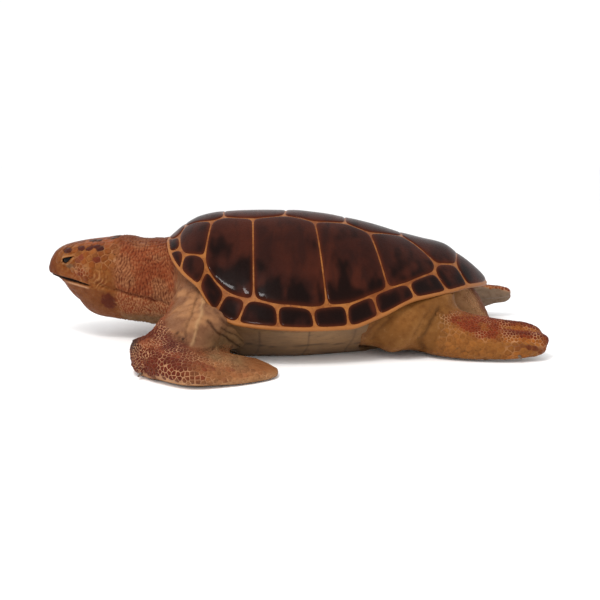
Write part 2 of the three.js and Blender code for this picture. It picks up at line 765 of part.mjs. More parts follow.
const COLOURS = {
  plate: { color: 0x3a1c16, roughness: 0.22 },
  carapace: { color: 0x9a6a34, roughness: 0.4 },
  plastron: { color: 0x8e7458, roughness: 0.55 },
  head: { color: 0x9a6236, roughness: 0.5 },
  neck: { color: 0x97582f, roughness: 0.6 },
  skin: { color: 0xa57a55, roughness: 0.6 },
  flipper: { color: 0x93552f, roughness: 0.55 },
  eye: { color: 0x0c0b0e, roughness: 0.08 },
  claw: { color: 0x4a3a2c, roughness: 0.35 },
};
const turtle = new THREE.Group();
turtle.position.x = ORIGIN_SHIFT;

function addPart(name, geometry, finish) {
  const material = new THREE.MeshStandardMaterial({ ...COLOURS[finish], metalness: 0, flatShading: true });
  const mesh = new THREE.Mesh(geometry, material);
  mesh.name = name;
  turtle.add(mesh);
}

addPart('carapace', carapaceGeometry(), 'carapace');
outlines.forEach((outline, name) => addPart(name, plateSolid(outline), 'plate'));
addPart('plastron', toGeometry(largest(plastronSolid().subtract(carapaceCutter))), 'plastron');
addPart('trunk', toGeometry(trunkSolid()), 'skin');

const { head, jaw, neck } = headAndNeck();
addPart('head', toGeometry(head), 'head');
addPart('jaw', toGeometry(jaw), 'head');
addPart('neck', toGeometry(neck), 'neck');
addPart('tail', toGeometry(largest(floorCut(fleshCut(tailSolid(), trunkGrown)))), 'skin');

['left', 'right'].forEach((side) => {
  addPart(`eye_${side}`, eyeGeometry(side), 'eye');
  const front = largest(floorCut(fleshCut(frontFlipperSolid(side), trunkGrown, neckGrown)));
  addPart(`front_flipper_${side}`, toGeometry(front), 'flipper');
  const hind = largest(floorCut(fleshCut(hindFlipperSolid(side), trunkGrown, tailSolid(GAP))));
  addPart(`hind_flipper_${side}`, toGeometry(hind), 'flipper');
  const frontClaw = largest(clawSolid('front', side).subtract(frontFlipperSolid(side, GAP)));
  addPart(`front_claw_${side}`, toGeometry(frontClaw), 'claw');
  const hindClaw = largest(clawSolid('hind', side).subtract(hindFlipperSolid(side, GAP)));
  addPart(`hind_claw_${side}`, toGeometry(hindClaw), 'claw');
});

export default turtle;
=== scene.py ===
"""A loggerhead turtle lying on its plastron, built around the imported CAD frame.

One skin replaces the nodes of flesh. Horn plates, carapace, plastron, eyes and claws are separate
pieces, each replacing its own node, and solid scales lie on the skin of head, flippers and tail.
Tables are in the CAD's millimetres and its design frame: head towards -x, z up, left side at -y.
"""

import math
from collections import namedtuple

import bmesh
import bpy
import numpy as np
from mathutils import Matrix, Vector, geometry, kdtree
from mathutils.bvhtree import BVHTree


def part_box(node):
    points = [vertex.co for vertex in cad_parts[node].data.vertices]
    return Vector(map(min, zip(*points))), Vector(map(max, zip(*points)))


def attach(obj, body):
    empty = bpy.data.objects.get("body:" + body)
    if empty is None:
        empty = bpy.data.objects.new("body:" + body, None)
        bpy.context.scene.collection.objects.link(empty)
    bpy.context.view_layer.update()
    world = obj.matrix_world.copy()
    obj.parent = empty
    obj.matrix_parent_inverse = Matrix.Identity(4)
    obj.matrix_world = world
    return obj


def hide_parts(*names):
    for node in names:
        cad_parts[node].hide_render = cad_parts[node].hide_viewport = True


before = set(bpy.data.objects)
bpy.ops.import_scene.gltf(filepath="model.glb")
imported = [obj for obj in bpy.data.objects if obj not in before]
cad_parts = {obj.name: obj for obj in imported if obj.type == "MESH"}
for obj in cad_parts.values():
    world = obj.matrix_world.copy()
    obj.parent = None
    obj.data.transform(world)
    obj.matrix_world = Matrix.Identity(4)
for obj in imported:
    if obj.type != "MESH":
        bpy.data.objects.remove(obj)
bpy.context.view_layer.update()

MM = 0.001
rng = np.random.default_rng(11)

# ---- dimensions, as in the CAD

SHELL_FRONT = -371
SHELL_BACK = 546
SHELL_HALF_WIDTH = 360
SHELL_LENGTH = SHELL_BACK - SHELL_FRONT
SEAM_HALF = 1.4
RIM_LINE = 3.5
RIM_THICKNESS = 9
CARAPACE_THICKNESS = 13
PLASTRON_THICKNESS = 13
DOME_CENTRE = np.array([60.0, 0.0])
RIM_PEAK = 0.5351  # greatest value of the rim's plan curve, u**0.35 * (1 - u)**0.6

EYE = np.array([-659.0, 55.0, 236.0])
EYE_RADIUS = 16

MIDLINE_HEIGHT = [
    (-371, 299), (-362, 303), (-332, 327), (-283, 351), (-220, 363), (-128, 366),
    (-36, 366.5), (56, 358), (130, 346), (204, 328), (293, 302), (350, 287),
    (415, 271), (456, 244), (488, 221), (525, 189), (546, 165),
]
RIM_HEIGHT = [
    (-371, 299), (-366, 295), (-352, 272), (-310, 232), (-261, 200), (-238, 166),
    (-215, 138), (-159, 113), (-53, 105), (40, 102), (124, 103), (203, 126),
    (302, 163), (394, 171), (461, 176), (546, 165),
]
V_SEAM = [(-322, 58), (-213, 68), (-45, 67), (126, 69), (287, 50), (432, 112)]
V_MIDLINE = [-331, -220, -40, 130, 293, 456]
V_CORNER = [(-244, 89), (-131, 84), (40, 90), (192, 93), (371, 143)]
C_CORNER = [(-252, 216), (-118, 297), (69, 303), (230, 250)]
M_CORNER = [
    (-333, 108), (-322, 168), (-308, 196), (-245, 238), (-191, 277), (-136, 295), (-58, 310),
    (30, 311), (118, 292), (189, 266), (284, 231), (363, 172), (432, 112), (456, 0),
]
M_RIM_X = [-368.6, -352, -312, -261, -215, -159, -53, 40, 124, 203, 302, 394, 461, 546]
COSTAL_OF_MARGINAL = {3: 0, 6: 1, 8: 2, 10: 3}
PLASTRON_OUTLINE = [
    (-322, 0), (-312, 75), (-270, 135), (-215, 180), (-170, 212), (-160, 246), (-180, 284),
    (-196, 318), (-159, 334), (-53, 348), (40, 347), (124, 332), (178, 316), (163, 268),
    (152, 222), (190, 168), (262, 138), (330, 100), (372, 50), (382, 0),
]
FLAT_HALF_WIDTH = [
    (-371, 150), (-230, 215), (-133, 238), (-27, 236),
    (81, 212), (164, 186), (220, 170), (400, 150),
]
# x, top, bottom, height of the widest line, half-width, squareness above and below it
HEAD_NECK = [
    (-733, 207, 196, 202, 9, 2, 2),
    (-726, 230, 182, 205, 26, 2.1, 2.1),
    (-708, 257, 173, 212, 41, 2.2, 2.2),
    (-684, 270, 154, 217, 55, 2.4, 2.2),
    (-652, 278, 109, 216, 70, 2.5, 2),
    (-612, 286, 75, 208, 86, 2.5, 1.9),
    (-570, 291, 58, 196, 98, 2.4, 2),
    (-508, 297, 50, 182, 106, 2.3, 2.1),
    (-450, 290, 43, 172, 115, 2.2, 2.2),
    (-395, 291, 36, 165, 128, 2.2, 2.2),
    (-330, 292, 34, 160, 136, 2.2, 2.2),
    (-280, 270, 60, 160, 110, 2.1, 2.1),
]
TRUNK = [
    (-352, 215, 105, 165, 110, 2.2, 2.2),
    (-336, 262, 58, 178, 178, 2.3, 2.2),
    (-300, 300, 30, 172, 236, 2.4, 2.2),
    (-240, 330, 13, 142, 280, 2.5, 2.2),
    (-150, 345, 6, 100, 318, 2.5, 2.2),
    (0, 350, 6, 92, 330, 2.5, 2.2),
    (110, 335, 4, 96, 316, 2.5, 2.3),
    (200, 315, -2, 112, 288, 2.4, 2.4),
    (280, 290, -2, 132, 250, 2.4, 2.4),
    (340, 265, 6, 148, 206, 2.3, 2.3),
    (395, 235, 44, 152, 148, 2.2, 2.2),
    (432, 205, 92, 150, 92, 2.2, 2.2),
]
# x, y of the leading and trailing edge, bottom, top
BLADE = [
    (-416, 398, 362, 36, 66),
    (-408, 424, 338, 10, 88),
    (-384, 455, 318, -1.5, 96),
    (-343, 490, 303, -2.5, 92),
    (-298, 523, 300, -2.5, 80),
    (-250, 543, 302, -2.5, 66),
    (-200, 536, 306, -2.5, 52),
    (-150, 518, 313, -2.5, 40),
    (-110, 498, 330, -2, 32),
    (-75, 474, 368, -1, 25),
    (-50, 448, 405, 3, 18),
]
# centre x, y, z, half-width along the body, half-height
ARM = [
    (-196, 150, 150, 88, 62),
    (-222, 222, 134, 98, 68),
    (-260, 290, 108, 96, 60),
    (-302, 348, 80, 86, 50),
    (-334, 394, 58, 62, 38),
]
# centre x, y, z, half-chord, half-thickness, roll in degrees
HIND = [
    (252, 130, 92, 84, 84, 8),
    (312, 168, 82, 92, 80, 16),
    (376, 216, 68, 80, 58, 32),
    (438, 246, 58, 70, 40, 42),
    (500, 260, 55, 66, 30, 43),
    (560, 264, 52, 64, 26, 42),
    (610, 261, 50, 54, 22, 40),
    (648, 257, 48, 37, 17, 38),
    (664, 255, 48, 16, 10, 36),
]
HIND_REACH = {"left": -12, "right": 30}
HIND_LIFT = {"left": 0, "right": 30}
# Web of skin between arm and bridge, and bulge of the thigh: x, y, z, half-width, half-height
WEB = [
    (-330, 215, 150, 46, 50), (-285, 242, 118, 60, 82), (-238, 264, 90, 62, 78),
    (-190, 272, 76, 50, 60), (-150, 262, 68, 40, 44), (-116, 250, 62, 24, 30),
]
THIGH = [
    (190, 222, 60, 34, 34), (225, 232, 68, 66, 62), (270, 230, 86, 74, 66),
    (320, 216, 112, 66, 58), (370, 195, 140, 50, 44), (410, 170, 158, 25, 25),
]
# centre x, z and radius
TAIL = [
    (392, 152, 56), (445, 140, 52), (492, 106, 42), (530, 64, 28),
    (558, 32, 15), (582, 15, 8), (598, 8, 4),
]
CLAWS = {
    "front": ((-366, 434, 22), (-386, 460, 9), 6.5),
    "hind": ((566, 298, 20), (584, 321, 8), 6),
}
SIDES = {"left": -1, "right": 1}

low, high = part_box("eye_left")
ORIGIN_SHIFT = (low.x + high.x) / 2 - EYE[0] * MM

# ---- dimensions of the visual model only

SEAM_RISE = 1.2  # seams stand this far above the dome's form
PLATE_RISE = 3.4  # a plate's shoulder
PLATE_CROWN = 1.6  # and its middle above that
PLATE_BEVEL = 6.0
PLATE_EDGE = -0.6
PLATE_GRID = 5.0
PLATE_STEP = 3  # spacing of the points of a plate's outline
PLATE_SOFTENING = 42  # passes that round its corners
SHELL_GRID = 6.0
PLASTRON_STEP = 4
PLASTRON_SOFTENING = 14
LOFT_STEPS = 8  # rings for each station of a loft
SKIN_VOXEL = 7.5
JUNCTION_REACH = 42  # skin this near to a second part of flesh is smoothed
JUNCTION_PASSES = 60
HEAD_BACK = -520  # x behind which the skin has none of the head's features
FACE_SIDE = 30  # |y| beyond which skin is on the side of the face
EYE_RIM = 3.0  # lids stand this far outside the eyeball
PAINT_TONE = (0.63, 0.54, 0.43)  # deepens the skin's colours, which the white studio washes out
SKIN_CLEARANCE = 1.5  # between the skin and the shell above it

# ---- colours (sRGB)


def rgb(r, g, b):
    """sRGB bytes as linear colour."""
    c = np.array([r, g, b]) / 255
    return np.where(c <= 0.04045, c / 12.92, ((c + 0.055) / 1.055) ** 2.4)


# ---- noise


def cell_value(i, j, k, seed):
    """A value from 0 to 1 for each corner of a grid, from its whole-number place."""
    h = (i * 374761393 + j * 668265263 + k * 1440662683 + seed * 974634777) & 0xFFFFFFFF
    h = ((h ^ (h >> 13)) * 1274126177) & 0xFFFFFFFF
    return ((h ^ (h >> 16)) & 0xFFFF) / 65535


def value_noise(points, size, seed):
    """Smooth noise from 0 to 1; size is the width of its lumps, one number or one per axis."""
    q = np.asarray(points, float) / np.asarray(size, float)
    cell = np.floor(q).astype(np.int64)
    t = q - cell
    t = t * t * (3 - 2 * t)
    total = np.zeros(len(q))
    for corner in range(8):
        step = np.array([corner & 1, corner >> 1 & 1, corner >> 2])
        weight = np.prod(np.where(step, t, 1 - t), axis=1)
        total += weight * cell_value(*(cell + step).T, seed)
    return total


def fractal(points, size, seed, octaves=3):
    """Noise from 0 to 1 with finer and fainter lumps on the largest ones."""
    total, share = 0, 0
    for octave in range(octaves):
        finer = 2**octave
        total = total + value_noise(points, np.asarray(size, float) / finer, seed + octave) / finer
        share += 1 / finer
    return total / share


def wobble(points, size, seed, reach, octaves=2):
    """Noise of both signs, its whole range being reach."""
    return (fractal(points, size, seed, octaves) - 0.5) * reach


def fade(value, low_edge, high_edge):
    """0 at the low edge rising smoothly to 1 at the high edge."""
    t = np.clip((value - low_edge) / (high_edge - low_edge), 0, 1)
    return t * t * (3 - 2 * t)


def bell(*pairs):
    """A smooth bump of height 1, from an offset and a width along each axis in turn."""
    power = 0
    for offset, width in zip(pairs[::2], pairs[1::2]):
        power = power - (offset / width) ** 2
    return np.exp(power)


# ---- curves


def profile(table):
    """A monotone cubic through (x, value) pairs."""
    xs, vs = np.array(table, float).T
    slope = np.diff(vs) / np.diff(xs)
    product = slope[:-1] * slope[1:]
    total = np.where(product > 0, slope[:-1] + slope[1:], 1)
    tangent = np.concatenate([slope[:1], np.where(product > 0, 2 * product / total, 0), slope[-1:]])

    def at(x):
        x = np.clip(x, xs[0], xs[-1])
        i = np.clip(np.searchsorted(xs, x) - 1, 0, len(xs) - 2)
        width = xs[i + 1] - xs[i]
        t = (x - xs[i]) / width
        ends = vs[i] * (1 + 2 * t) * (1 - t) ** 2 + vs[i + 1] * t * t * (3 - 2 * t)
        return ends + width * (tangent[i] * t * (1 - t) ** 2 + tangent[i + 1] * t * t * (t - 1))

    return at


def refine(rows, steps):
    """Rows between the stations of a loft, by Catmull-Rom."""
    rows = np.array(rows, float)
    out = []
    for i in range(len(rows) - 1):
        b, c = rows[i], rows[i + 1]
        m0 = (c - rows[max(i - 1, 0)]) / 2
        m1 = (rows[min(i + 2, len(rows) - 1)] - b) / 2
        for k in range(steps):
            t = k / steps
            ends = b * (1 + 2 * t) * (1 - t) ** 2 + c * t * t * (3 - 2 * t)
            out.append(ends + m0 * t * (1 - t) ** 2 + m1 * t * t * (t - 1))
    out.append(rows[-1])
    return np.array(out)


# ---- the shell's form

midline_height = profile(MIDLINE_HEIGHT)
rim_height = profile(RIM_HEIGHT)
flat_half_width = profile(FLAT_HALF_WIDTH)


def half_width(x):
    u = np.clip((np.asarray(x, float) - SHELL_FRONT) / SHELL_LENGTH, 0, 1)
    return SHELL_HALF_WIDTH * u**0.35 * (1 - u) ** 0.6 / RIM_PEAK


def dome_height(x, y):
    across = np.minimum(np.abs(y) / np.maximum(half_width(x), 1e-6), 1)
    crown = (1 - across**2.2) ** 1.35
    return rim_height(x) * (1 - crown) + midline_height(x) * crown


def dome_normal(x, y):
    d = 2
    xa, xb = np.maximum(x - d, SHELL_FRONT + 1), np.minimum(x + d, SHELL_BACK - 1)
    slope_x = (dome_height(xb, y) - dome_height(xa, y)) / (xb - xa)
    slope_y = (dome_height(x, y + d) - dome_height(x, y - d)) / (2 * d)
    n = np.stack([-slope_x, -slope_y, np.ones_like(slope_x)], -1)
    return n / np.linalg.norm(n, axis=-1, keepdims=True)


def off_dome(plan, rise):
    """Points a distance off the dome above the plan points."""
    x, y = np.asarray(plan, float).T
    base = np.stack([x, y, dome_height(x, y)], -1)
    return base + dome_normal(x, y) * np.reshape(rise, (-1, 1))


def half_rim(count):
    """The right half of the rim, evenly spaced from front to back."""
    x = SHELL_FRONT + SHELL_LENGTH * (1 - np.cos(np.linspace(0, math.pi, 901))) / 2
    dense = np.stack([x, half_width(x)], -1)
    length = np.concatenate([[0], np.cumsum(np.linalg.norm(np.diff(dense, axis=0), axis=1))])
    at = np.linspace(0, length[-1], count)
    return np.stack([np.interp(at, length, dense[:, 0]), np.interp(at, length, dense[:, 1])], -1)


RIM = half_rim(1201)


def rim_between(xa, xb, count):
    span = RIM[(RIM[:, 0] >= xa) & (RIM[:, 0] <= xb)]
    return [tuple(p) for p in span[np.round(np.linspace(0, len(span) - 1, count)).astype(int)]]


def belly_height(x, y):
    """The underside: flat in the middle, curving up to the rim at the bridges."""
    inner, outer = flat_half_width(x), half_width(x) - 8
    t = np.clip((np.abs(y) - inner) / np.maximum(outer - inner, 1), 0, 1)
    return (rim_height(x) - RIM_THICKNESS - 0.35) * t**1.25


# ---- plans of the horn plates


def mirror_y(points):
    return [(x, -y) for x, y in points]


def both_halves(chain):
    return chain + mirror_y(chain)[::-1]


def plate_corners():
    plates = {}
    rim = rim_between(SHELL_FRONT, M_RIM_X[0], 8)
    plates["nuchal_plate"] = both_halves(rim + [M_CORNER[0], V_SEAM[0], (V_MIDLINE[0], 6)])
    for i in range(5):
        chain = [(V_MIDLINE[i], 6), V_SEAM[i], V_CORNER[i], V_SEAM[i + 1], (V_MIDLINE[i + 1], 6)]
        plates[f"vertebral_plate_{i + 1}"] = both_halves(chain)
    v, c, m = V_CORNER, C_CORNER, M_CORNER
    costals = [
        [V_SEAM[0], m[0], m[1], m[2], c[0], v[0]],
        [v[0], c[0], m[3], m[4], m[5], c[1], v[1], V_SEAM[1]],
        [v[1], c[1], m[6], m[7], c[2], v[2], V_SEAM[2]],
        [v[2], c[2], m[8], m[9], c[3], v[3], V_SEAM[3]],
        [v[3], c[3], m[10], m[11], v[4], V_SEAM[4]],
    ]
    marginals = []
    for i in range(13):
        extra = [c[COSTAL_OF_MARGINAL[i + 1]]] if i + 1 in COSTAL_OF_MARGINAL else []
        if i == 11:
            extra.append(v[4])
        marginals.append(rim_between(M_RIM_X[i], M_RIM_X[i + 1], 12) + [m[i + 1]] + extra + [m[i]])
    for side, place in (("right", list), ("left", mirror_y)):
        for i, corners in enumerate(costals):
            plates[f"costal_plate_{i + 1}_{side}"] = place(corners)
        for i, corners in enumerate(marginals):
            plates[f"marginal_plate_{i + 1}_{side}"] = place(corners)
    return plates


def signed_area(points):
    x, y = np.asarray(points, float).T
    return np.sum(x * np.roll(y, -1) - y * np.roll(x, -1)) / 2


def walk(points, spacing):
    """A closed chain with a point every spacing or so."""
    out = []
    for p, q in zip(points, points[1:] + points[:1]):
        p, q = np.array(p, float), np.array(q, float)
        steps = max(1, round(np.linalg.norm(q - p) / spacing))
        out += [p + (q - p) * k / steps for k in range(steps)]
    return np.array(out)


def inset(points, reach, distance):
    """A closed chain moved inwards, square to the line between points reach places away."""
    along = np.roll(points, -reach, 0) - np.roll(points, reach, 0)
    length = np.linalg.norm(along, axis=1, keepdims=True)
    share = np.reshape(distance, (-1, 1)) / np.maximum(length, 1e-9)
    return points + np.stack([-along[:, 1], along[:, 0]], -1) * share


def soften(points, passes):
    for _ in range(passes):
        points = (np.roll(points, 1, 0) + 2 * points + np.roll(points, -1, 0)) / 4
    return points


def plate_outline(corners):
    chain = corners if signed_area(corners) > 0 else corners[::-1]
    dense = walk(chain, PLATE_STEP)
    at_rim = np.abs(np.abs(dense[:, 1]) - half_width(dense[:, 0])) < 1.5
    at_rim |= dense[:, 0] < SHELL_FRONT + 4
    return soften(inset(dense, 4, np.where(at_rim, RIM_LINE, SEAM_HALF)), PLATE_SOFTENING)


OUTLINES = {name: plate_outline(corners) for name, corners in plate_corners().items()}


def distance_to_loop(points, loop):
    """Distance from each plan point to a closed chain."""
    a, b = loop, np.roll(loop, -1, 0)
    ab = b - a
    t = np.einsum("pij,ij->pi", points[:, None] - a, ab) / np.maximum(np.sum(ab * ab, 1), 1e-9)
    nearest = a + np.clip(t, 0, 1)[..., None] * ab
    return np.min(np.linalg.norm(points[:, None] - nearest, axis=2), axis=1)


def inside_loop(points, loop):
    x, y = points.T
    crossings = np.zeros(len(points), int)
    for (ax, ay), (bx, by) in zip(loop, np.roll(loop, -1, 0)):
        spans = (ay > y) != (by > y)
        with np.errstate(divide="ignore", invalid="ignore"):
            crossings += spans & (x < (bx - ax) * (y - ay) / (by - ay) + ax)
    return crossings % 2 == 1


def hex_grid(loop, spacing, margin):
    """Points of a triangular grid inside a loop, at least margin from it."""
    (x0, y0), (x1, y1) = loop.min(0), loop.max(0)
    rows = np.arange(y0, y1, spacing * math.sqrt(0.75))
    points = []
    for k, y in enumerate(rows):
        x = np.arange(x0 + (k % 2) * spacing / 2, x1, spacing)
        points.append(np.stack([x, np.full_like(x, y)], -1))
    points = np.concatenate(points)
    points = points[inside_loop(points, loop)]
    return points[distance_to_loop(points, loop) > margin]


def triangulate(loop, inner):
    """Delaunay triangles of a loop's inside; the loop's points come first and keep their order."""
    points = np.concatenate([loop, inner])
    count = len(loop)
    edges = [(i, (i + 1) % count) for i in range(count)]
    found = geometry.delaunay_2d_cdt([Vector(p) for p in points], edges, [], 1, 1e-6)
    verts, _, faces, origins, _, _ = found
    order, plan = {}, [tuple(p) for p in loop]
    for i, origin in enumerate(origins):
        if origin and min(origin) < count:
            order[i] = min(origin)
        else:
            order[i] = len(plan)
            plan.append(tuple(verts[i]))
    plan = np.array(plan)
    faces = [[order[i] for i in face] for face in faces]
    flip = signed_area(plan[faces[0]]) < 0
    return plan, [face[::-1] if flip else face for face in faces]


# ---- meshes and objects


def to_world(points):
    return np.asarray(points, float) * MM + np.array([ORIGIN_SHIFT, 0, 0])


def make_object(name, points, faces, material, nodes=(), attributes=None):
    """A piece from design-frame points, riding on the root and standing for the CAD nodes given."""
    mesh = bpy.data.meshes.new(name)
    mesh.from_pydata(to_world(points).tolist(), [], [list(f) for f in faces])
    return finish_object(name, mesh, material, nodes, attributes)


def under_shell(points, shell):
    """Points held below the shell's underside wherever the shell covers them."""
    out = points.copy()
    for i, (x, y, z) in enumerate(points.tolist()):
        if z < 60 or not SHELL_FRONT - 4 < x < SHELL_BACK + 4:
            continue
        hit = shell.ray_cast(Vector((x, y, 20)), Vector((0, 0, 1)))[0]
        if hit is not None and z > hit.z - SKIN_CLEARANCE:
            out[i, 2] = hit.z - SKIN_CLEARANCE
    return out


def inside_bridge(points):
    """Points of the trunk's sides raised into the bridge where they would show through it."""
    x, y, z = points.T
    skin_limit = belly_height(x, y) + 4
    at_bridge = (x > -112) & (x < 160) & (np.abs(y) > 200) & (np.abs(y) < half_width(x) - 6)
    at_bridge &= (z < skin_limit) & (z > skin_limit - 22)
    return np.column_stack([x, y, np.where(at_bridge, skin_limit, z)])


def finish_object(name, mesh, material, nodes, attributes):
    mesh.validate()
    mesh.polygons.foreach_set("use_smooth", [True] * len(mesh.polygons))
    for key, values in (attributes or {}).items():
        values = np.asarray(values, np.float32)
        if values.ndim == 1:
            mesh.attributes.new(key, "FLOAT", "POINT").data.foreach_set("value", values)
        else:
            rgba = np.concatenate([values, np.ones((len(values), 1), np.float32)], 1)
            mesh.attributes.new(key, "FLOAT_COLOR", "POINT").data.foreach_set("color", rgba.ravel())
    mesh.materials.append(material)
    piece = bpy.data.objects.new(name, mesh)
    bpy.context.scene.collection.objects.link(piece)
    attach(piece, "root")
    if nodes:
        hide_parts(*nodes)
    return piece


def band(a, b, n):
    """Quads between two rings of n points, whose first points are a and b."""
    return [(a + k, a + (k + 1) % n, b + (k + 1) % n, b + k) for k in range(n)]


def wall(a, b, n):
    """The quads of a band, wound the other way."""
    return [(a + k, b + k, b + (k + 1) % n, a + (k + 1) % n) for k in range(n)]


def fan(ring, tip, n):
    """Triangles from a ring of n points to one point."""
    return [(ring + k, ring + (k + 1) % n, tip) for k in range(n)]


def fan_back(ring, tip, n):
    """The triangles of a fan, wound the other way."""
    return [(ring + (k + 1) % n, ring + k, tip) for k in range(n)]


def ring_solid(rings):
    """Points and faces of a closed body through rings of points, with a fan at each end."""
    n = len(rings[0])
    points = np.concatenate(list(rings) + [np.mean(rings[0], 0)[None], np.mean(rings[-1], 0)[None]])
    faces = []
    for i in range(len(rings) - 1):
        faces += band(i * n, (i + 1) * n, n)
    first, last = len(points) - 2, len(points) - 1
    return points, faces + fan_back(0, first, n) + fan((len(rings) - 1) * n, last, n)


def section(centre, right, left, up, down, square_up, square_down, n):
    """A closed ring about a centre from four half-axes, each quarter a superellipse."""
    angle = 2 * math.pi * np.arange(n) / n
    c, s = np.cos(angle), np.sin(angle)
    power = 2 / np.where(s > 0, square_up, square_down)
    across = np.where((c > 0)[:, None], right, left) * (np.abs(c) ** power)[:, None]
    tall = np.where((s > 0)[:, None], up, down) * (np.abs(s) ** power)[:, None]
    return np.asarray(centre) + across + tall


def body_loft(stations, n=96):
    rings = []
    for x, top, bottom, wide, half, square_up, square_down in refine(stations, LOFT_STEPS):
        up, down = (0, 0, top - wide), (0, 0, bottom - wide)
        middle, right, left = (x, 0, wide), (0, half, 0), (0, -half, 0)
        rings.append(section(middle, right, left, up, down, square_up, square_down, n))
    return ring_solid(rings)


def path_loft(rows, n=64):
    """A limb with sections square to its path; rows hold x, y, z, half-width, half-height, roll."""
    rows = np.array(rows, float)
    centres = rows[:, :3]
    rings = []
    for i, (_, _, _, half_wide, half_tall, roll) in enumerate(rows):
        tangent = Vector(centres[min(i + 1, len(rows) - 1)] - centres[max(i - 1, 0)]).normalized()
        side = Vector((0, 0, 1)).cross(tangent).normalized()
        turn = math.radians(roll)
        side = side * math.cos(turn) + tangent.cross(side) * math.sin(turn)
        up = tangent.cross(side)
        across, tall = np.array(side) * half_wide, np.array(up) * half_tall
        rings.append(section(centres[i], across, -across, tall, -tall, 2, 2, n))
    return ring_solid(rings)


def level_loft(stations):
    """A limb through the stations, without roll."""
    return path_loft([(*row, 0) for row in refine(stations, LOFT_STEPS)])


def blade_loft(n=72):
    rings = []
    for x, lead, trail, bottom, top in refine(BLADE, LOFT_STEPS):
        thick = lead - (lead - trail) * 0.38
        middle = bottom + (top - bottom) * 0.42
        up, down = (0, 0, top - middle), (0, 0, bottom - middle)
        ahead, behind = (0, lead - thick, 0), (0, trail - thick, 0)
        rings.append(section((x, thick, middle), ahead, behind, up, down, 1.75, 2.6, n))
    return ring_solid(rings)


def mirrored(part, sign):
    points, faces = part
    return points * np.array([1, sign, 1]), faces


def hind_shift(x, side, limb="hind"):
    """How far a hind limb's point at x is moved by its side's reach and lift."""
    if limb == "front":
        return np.zeros(3)
    share = ((x - HIND[0][0]) / (HIND[-1][0] - HIND[0][0])) ** 2
    return np.stack([HIND_REACH[side] * share, 0 * share, HIND_LIFT[side] * share], -1)


def hind_loft(side):
    rows = refine(HIND, LOFT_STEPS)
    rows[:, :3] += hind_shift(rows[:, 0], side)
    rows[:, 5] *= -1
    return path_loft(rows)


# ---- materials


def new_material(name, **sockets):
    """A Principled material; sockets set its own values, with underscores for spaces."""
    material = bpy.data.materials.new(name)
    material.use_nodes = True
    bsdf = material.node_tree.nodes["Principled BSDF"]
    for key, value in sockets.items():
        bsdf.inputs[key.replace("_", " ")].default_value = value
    return material, material.node_tree, bsdf


def add(tree, kind, inputs=None, **props):
    """A node with its properties and inputs set; an input given as a socket is linked."""
    node = tree.nodes.new(kind)
    for key, value in props.items():
        setattr(node, key, value)
    for key, value in (inputs or {}).items():
        if isinstance(value, bpy.types.NodeSocket):
            tree.links.new(value, node.inputs[key])
        else:
            node.inputs[key].default_value = value
    return node


def colour_input(c):
    """A socket as it is, or a colour with its alpha."""
    return c if isinstance(c, bpy.types.NodeSocket) else (*np.asarray(c, float).tolist(), 1.0)


def mix_colour(tree, factor, a, b, blend_type="MIX"):
    """The colour a, turning to b as factor goes to 1."""
    inputs = {0: factor, 6: colour_input(a), 7: colour_input(b)}
    props = {"data_type": "RGBA", "blend_type": blend_type, "clamp_factor": True}
    return add(tree, "ShaderNodeMix", inputs, **props).outputs[2]


def ramp(tree, value, low_edge, high_edge, to_low=0.0, to_high=1.0):
    inputs = {0: value, 1: low_edge, 2: high_edge, 3: to_low, 4: to_high}
    return add(tree, "ShaderNodeMapRange", inputs, interpolation_type="SMOOTHSTEP").outputs[0]


def object_noise(tree, scale, detail=4, roughness=0.55, stretch=(1, 1, 1), distortion=0.0):
    coordinates = add(tree, "ShaderNodeTexCoord").outputs["Object"]
    mapping = add(tree, "ShaderNodeMapping", {"Vector": coordinates, "Scale": stretch})
    inputs = {
        "Vector": mapping.outputs[0], "Scale": scale, "Detail": detail,
        "Roughness": roughness, "Distortion": distortion,
    }
    return add(tree, "ShaderNodeTexNoise", inputs).outputs[0]


def cell_edges(tree, scale):
    """Distance to the nearest border of a pattern of cells."""
    coordinates = add(tree, "ShaderNodeTexCoord").outputs["Object"]
    inputs = {"Vector": coordinates, "Scale": scale}
    return add(tree, "ShaderNodeTexVoronoi", inputs, feature="DISTANCE_TO_EDGE").outputs[0]


def bump(tree, height, strength, distance, normal=None):
    inputs = {"Height": height, "Strength": strength, "Distance": distance}
    if normal is not None:
        inputs["Normal"] = normal
    return add(tree, "ShaderNodeBump", inputs).outputs[0]


def attribute(tree, name, output="Fac"):
    return add(tree, "ShaderNodeAttribute", attribute_name=name).outputs[output]


def drive(bsdf, **sockets):
    """Links node outputs to a shader's inputs, with underscores for spaces."""
    for key, socket in sockets.items():
        bsdf.id_data.links.new(socket, bsdf.inputs[key.replace("_", " ")])


def horn_material():
    """Dark, polished horn of the shell plates."""
    material, tree, bsdf = new_material(
        "shell_horn", Roughness=0.4, Coat_Weight=0.07, Coat_Roughness=0.05, Specular_IOR_Level=0.02
    )
    cloud = ramp(tree, object_noise(tree, 5, 3), 0.35, 0.65)
    streak = object_noise(tree, 9, 3, stretch=(2.2, 1.0, 0.5), distortion=0.6)
    red = mix_colour(tree, cloud, rgb(44, 18, 12), rgb(60, 25, 15))
    dark = mix_colour(tree, ramp(tree, streak, 0.4, 0.7, 0, 0.75), red, rgb(31, 14, 11))
    # Dark patches at random, and painted shade that darkens the plates the lower they sit on the
    # dome.
    lower = mix_colour(tree, attribute(tree, "patches_and_painted_shade"), dark, rgb(11, 4, 3))
    edge = mix_colour(tree, attribute(tree, "edge"), lower, rgb(84, 34, 14))
    gloss = ramp(tree, object_noise(tree, 130, 3), 0.3, 0.75, 0.22, 0.38)
    ripple = bump(tree, object_noise(tree, 18, 2), 0.2, 0.003)
    drive(bsdf, Base_Color=edge, Roughness=gloss, Normal=ripple)
    return material


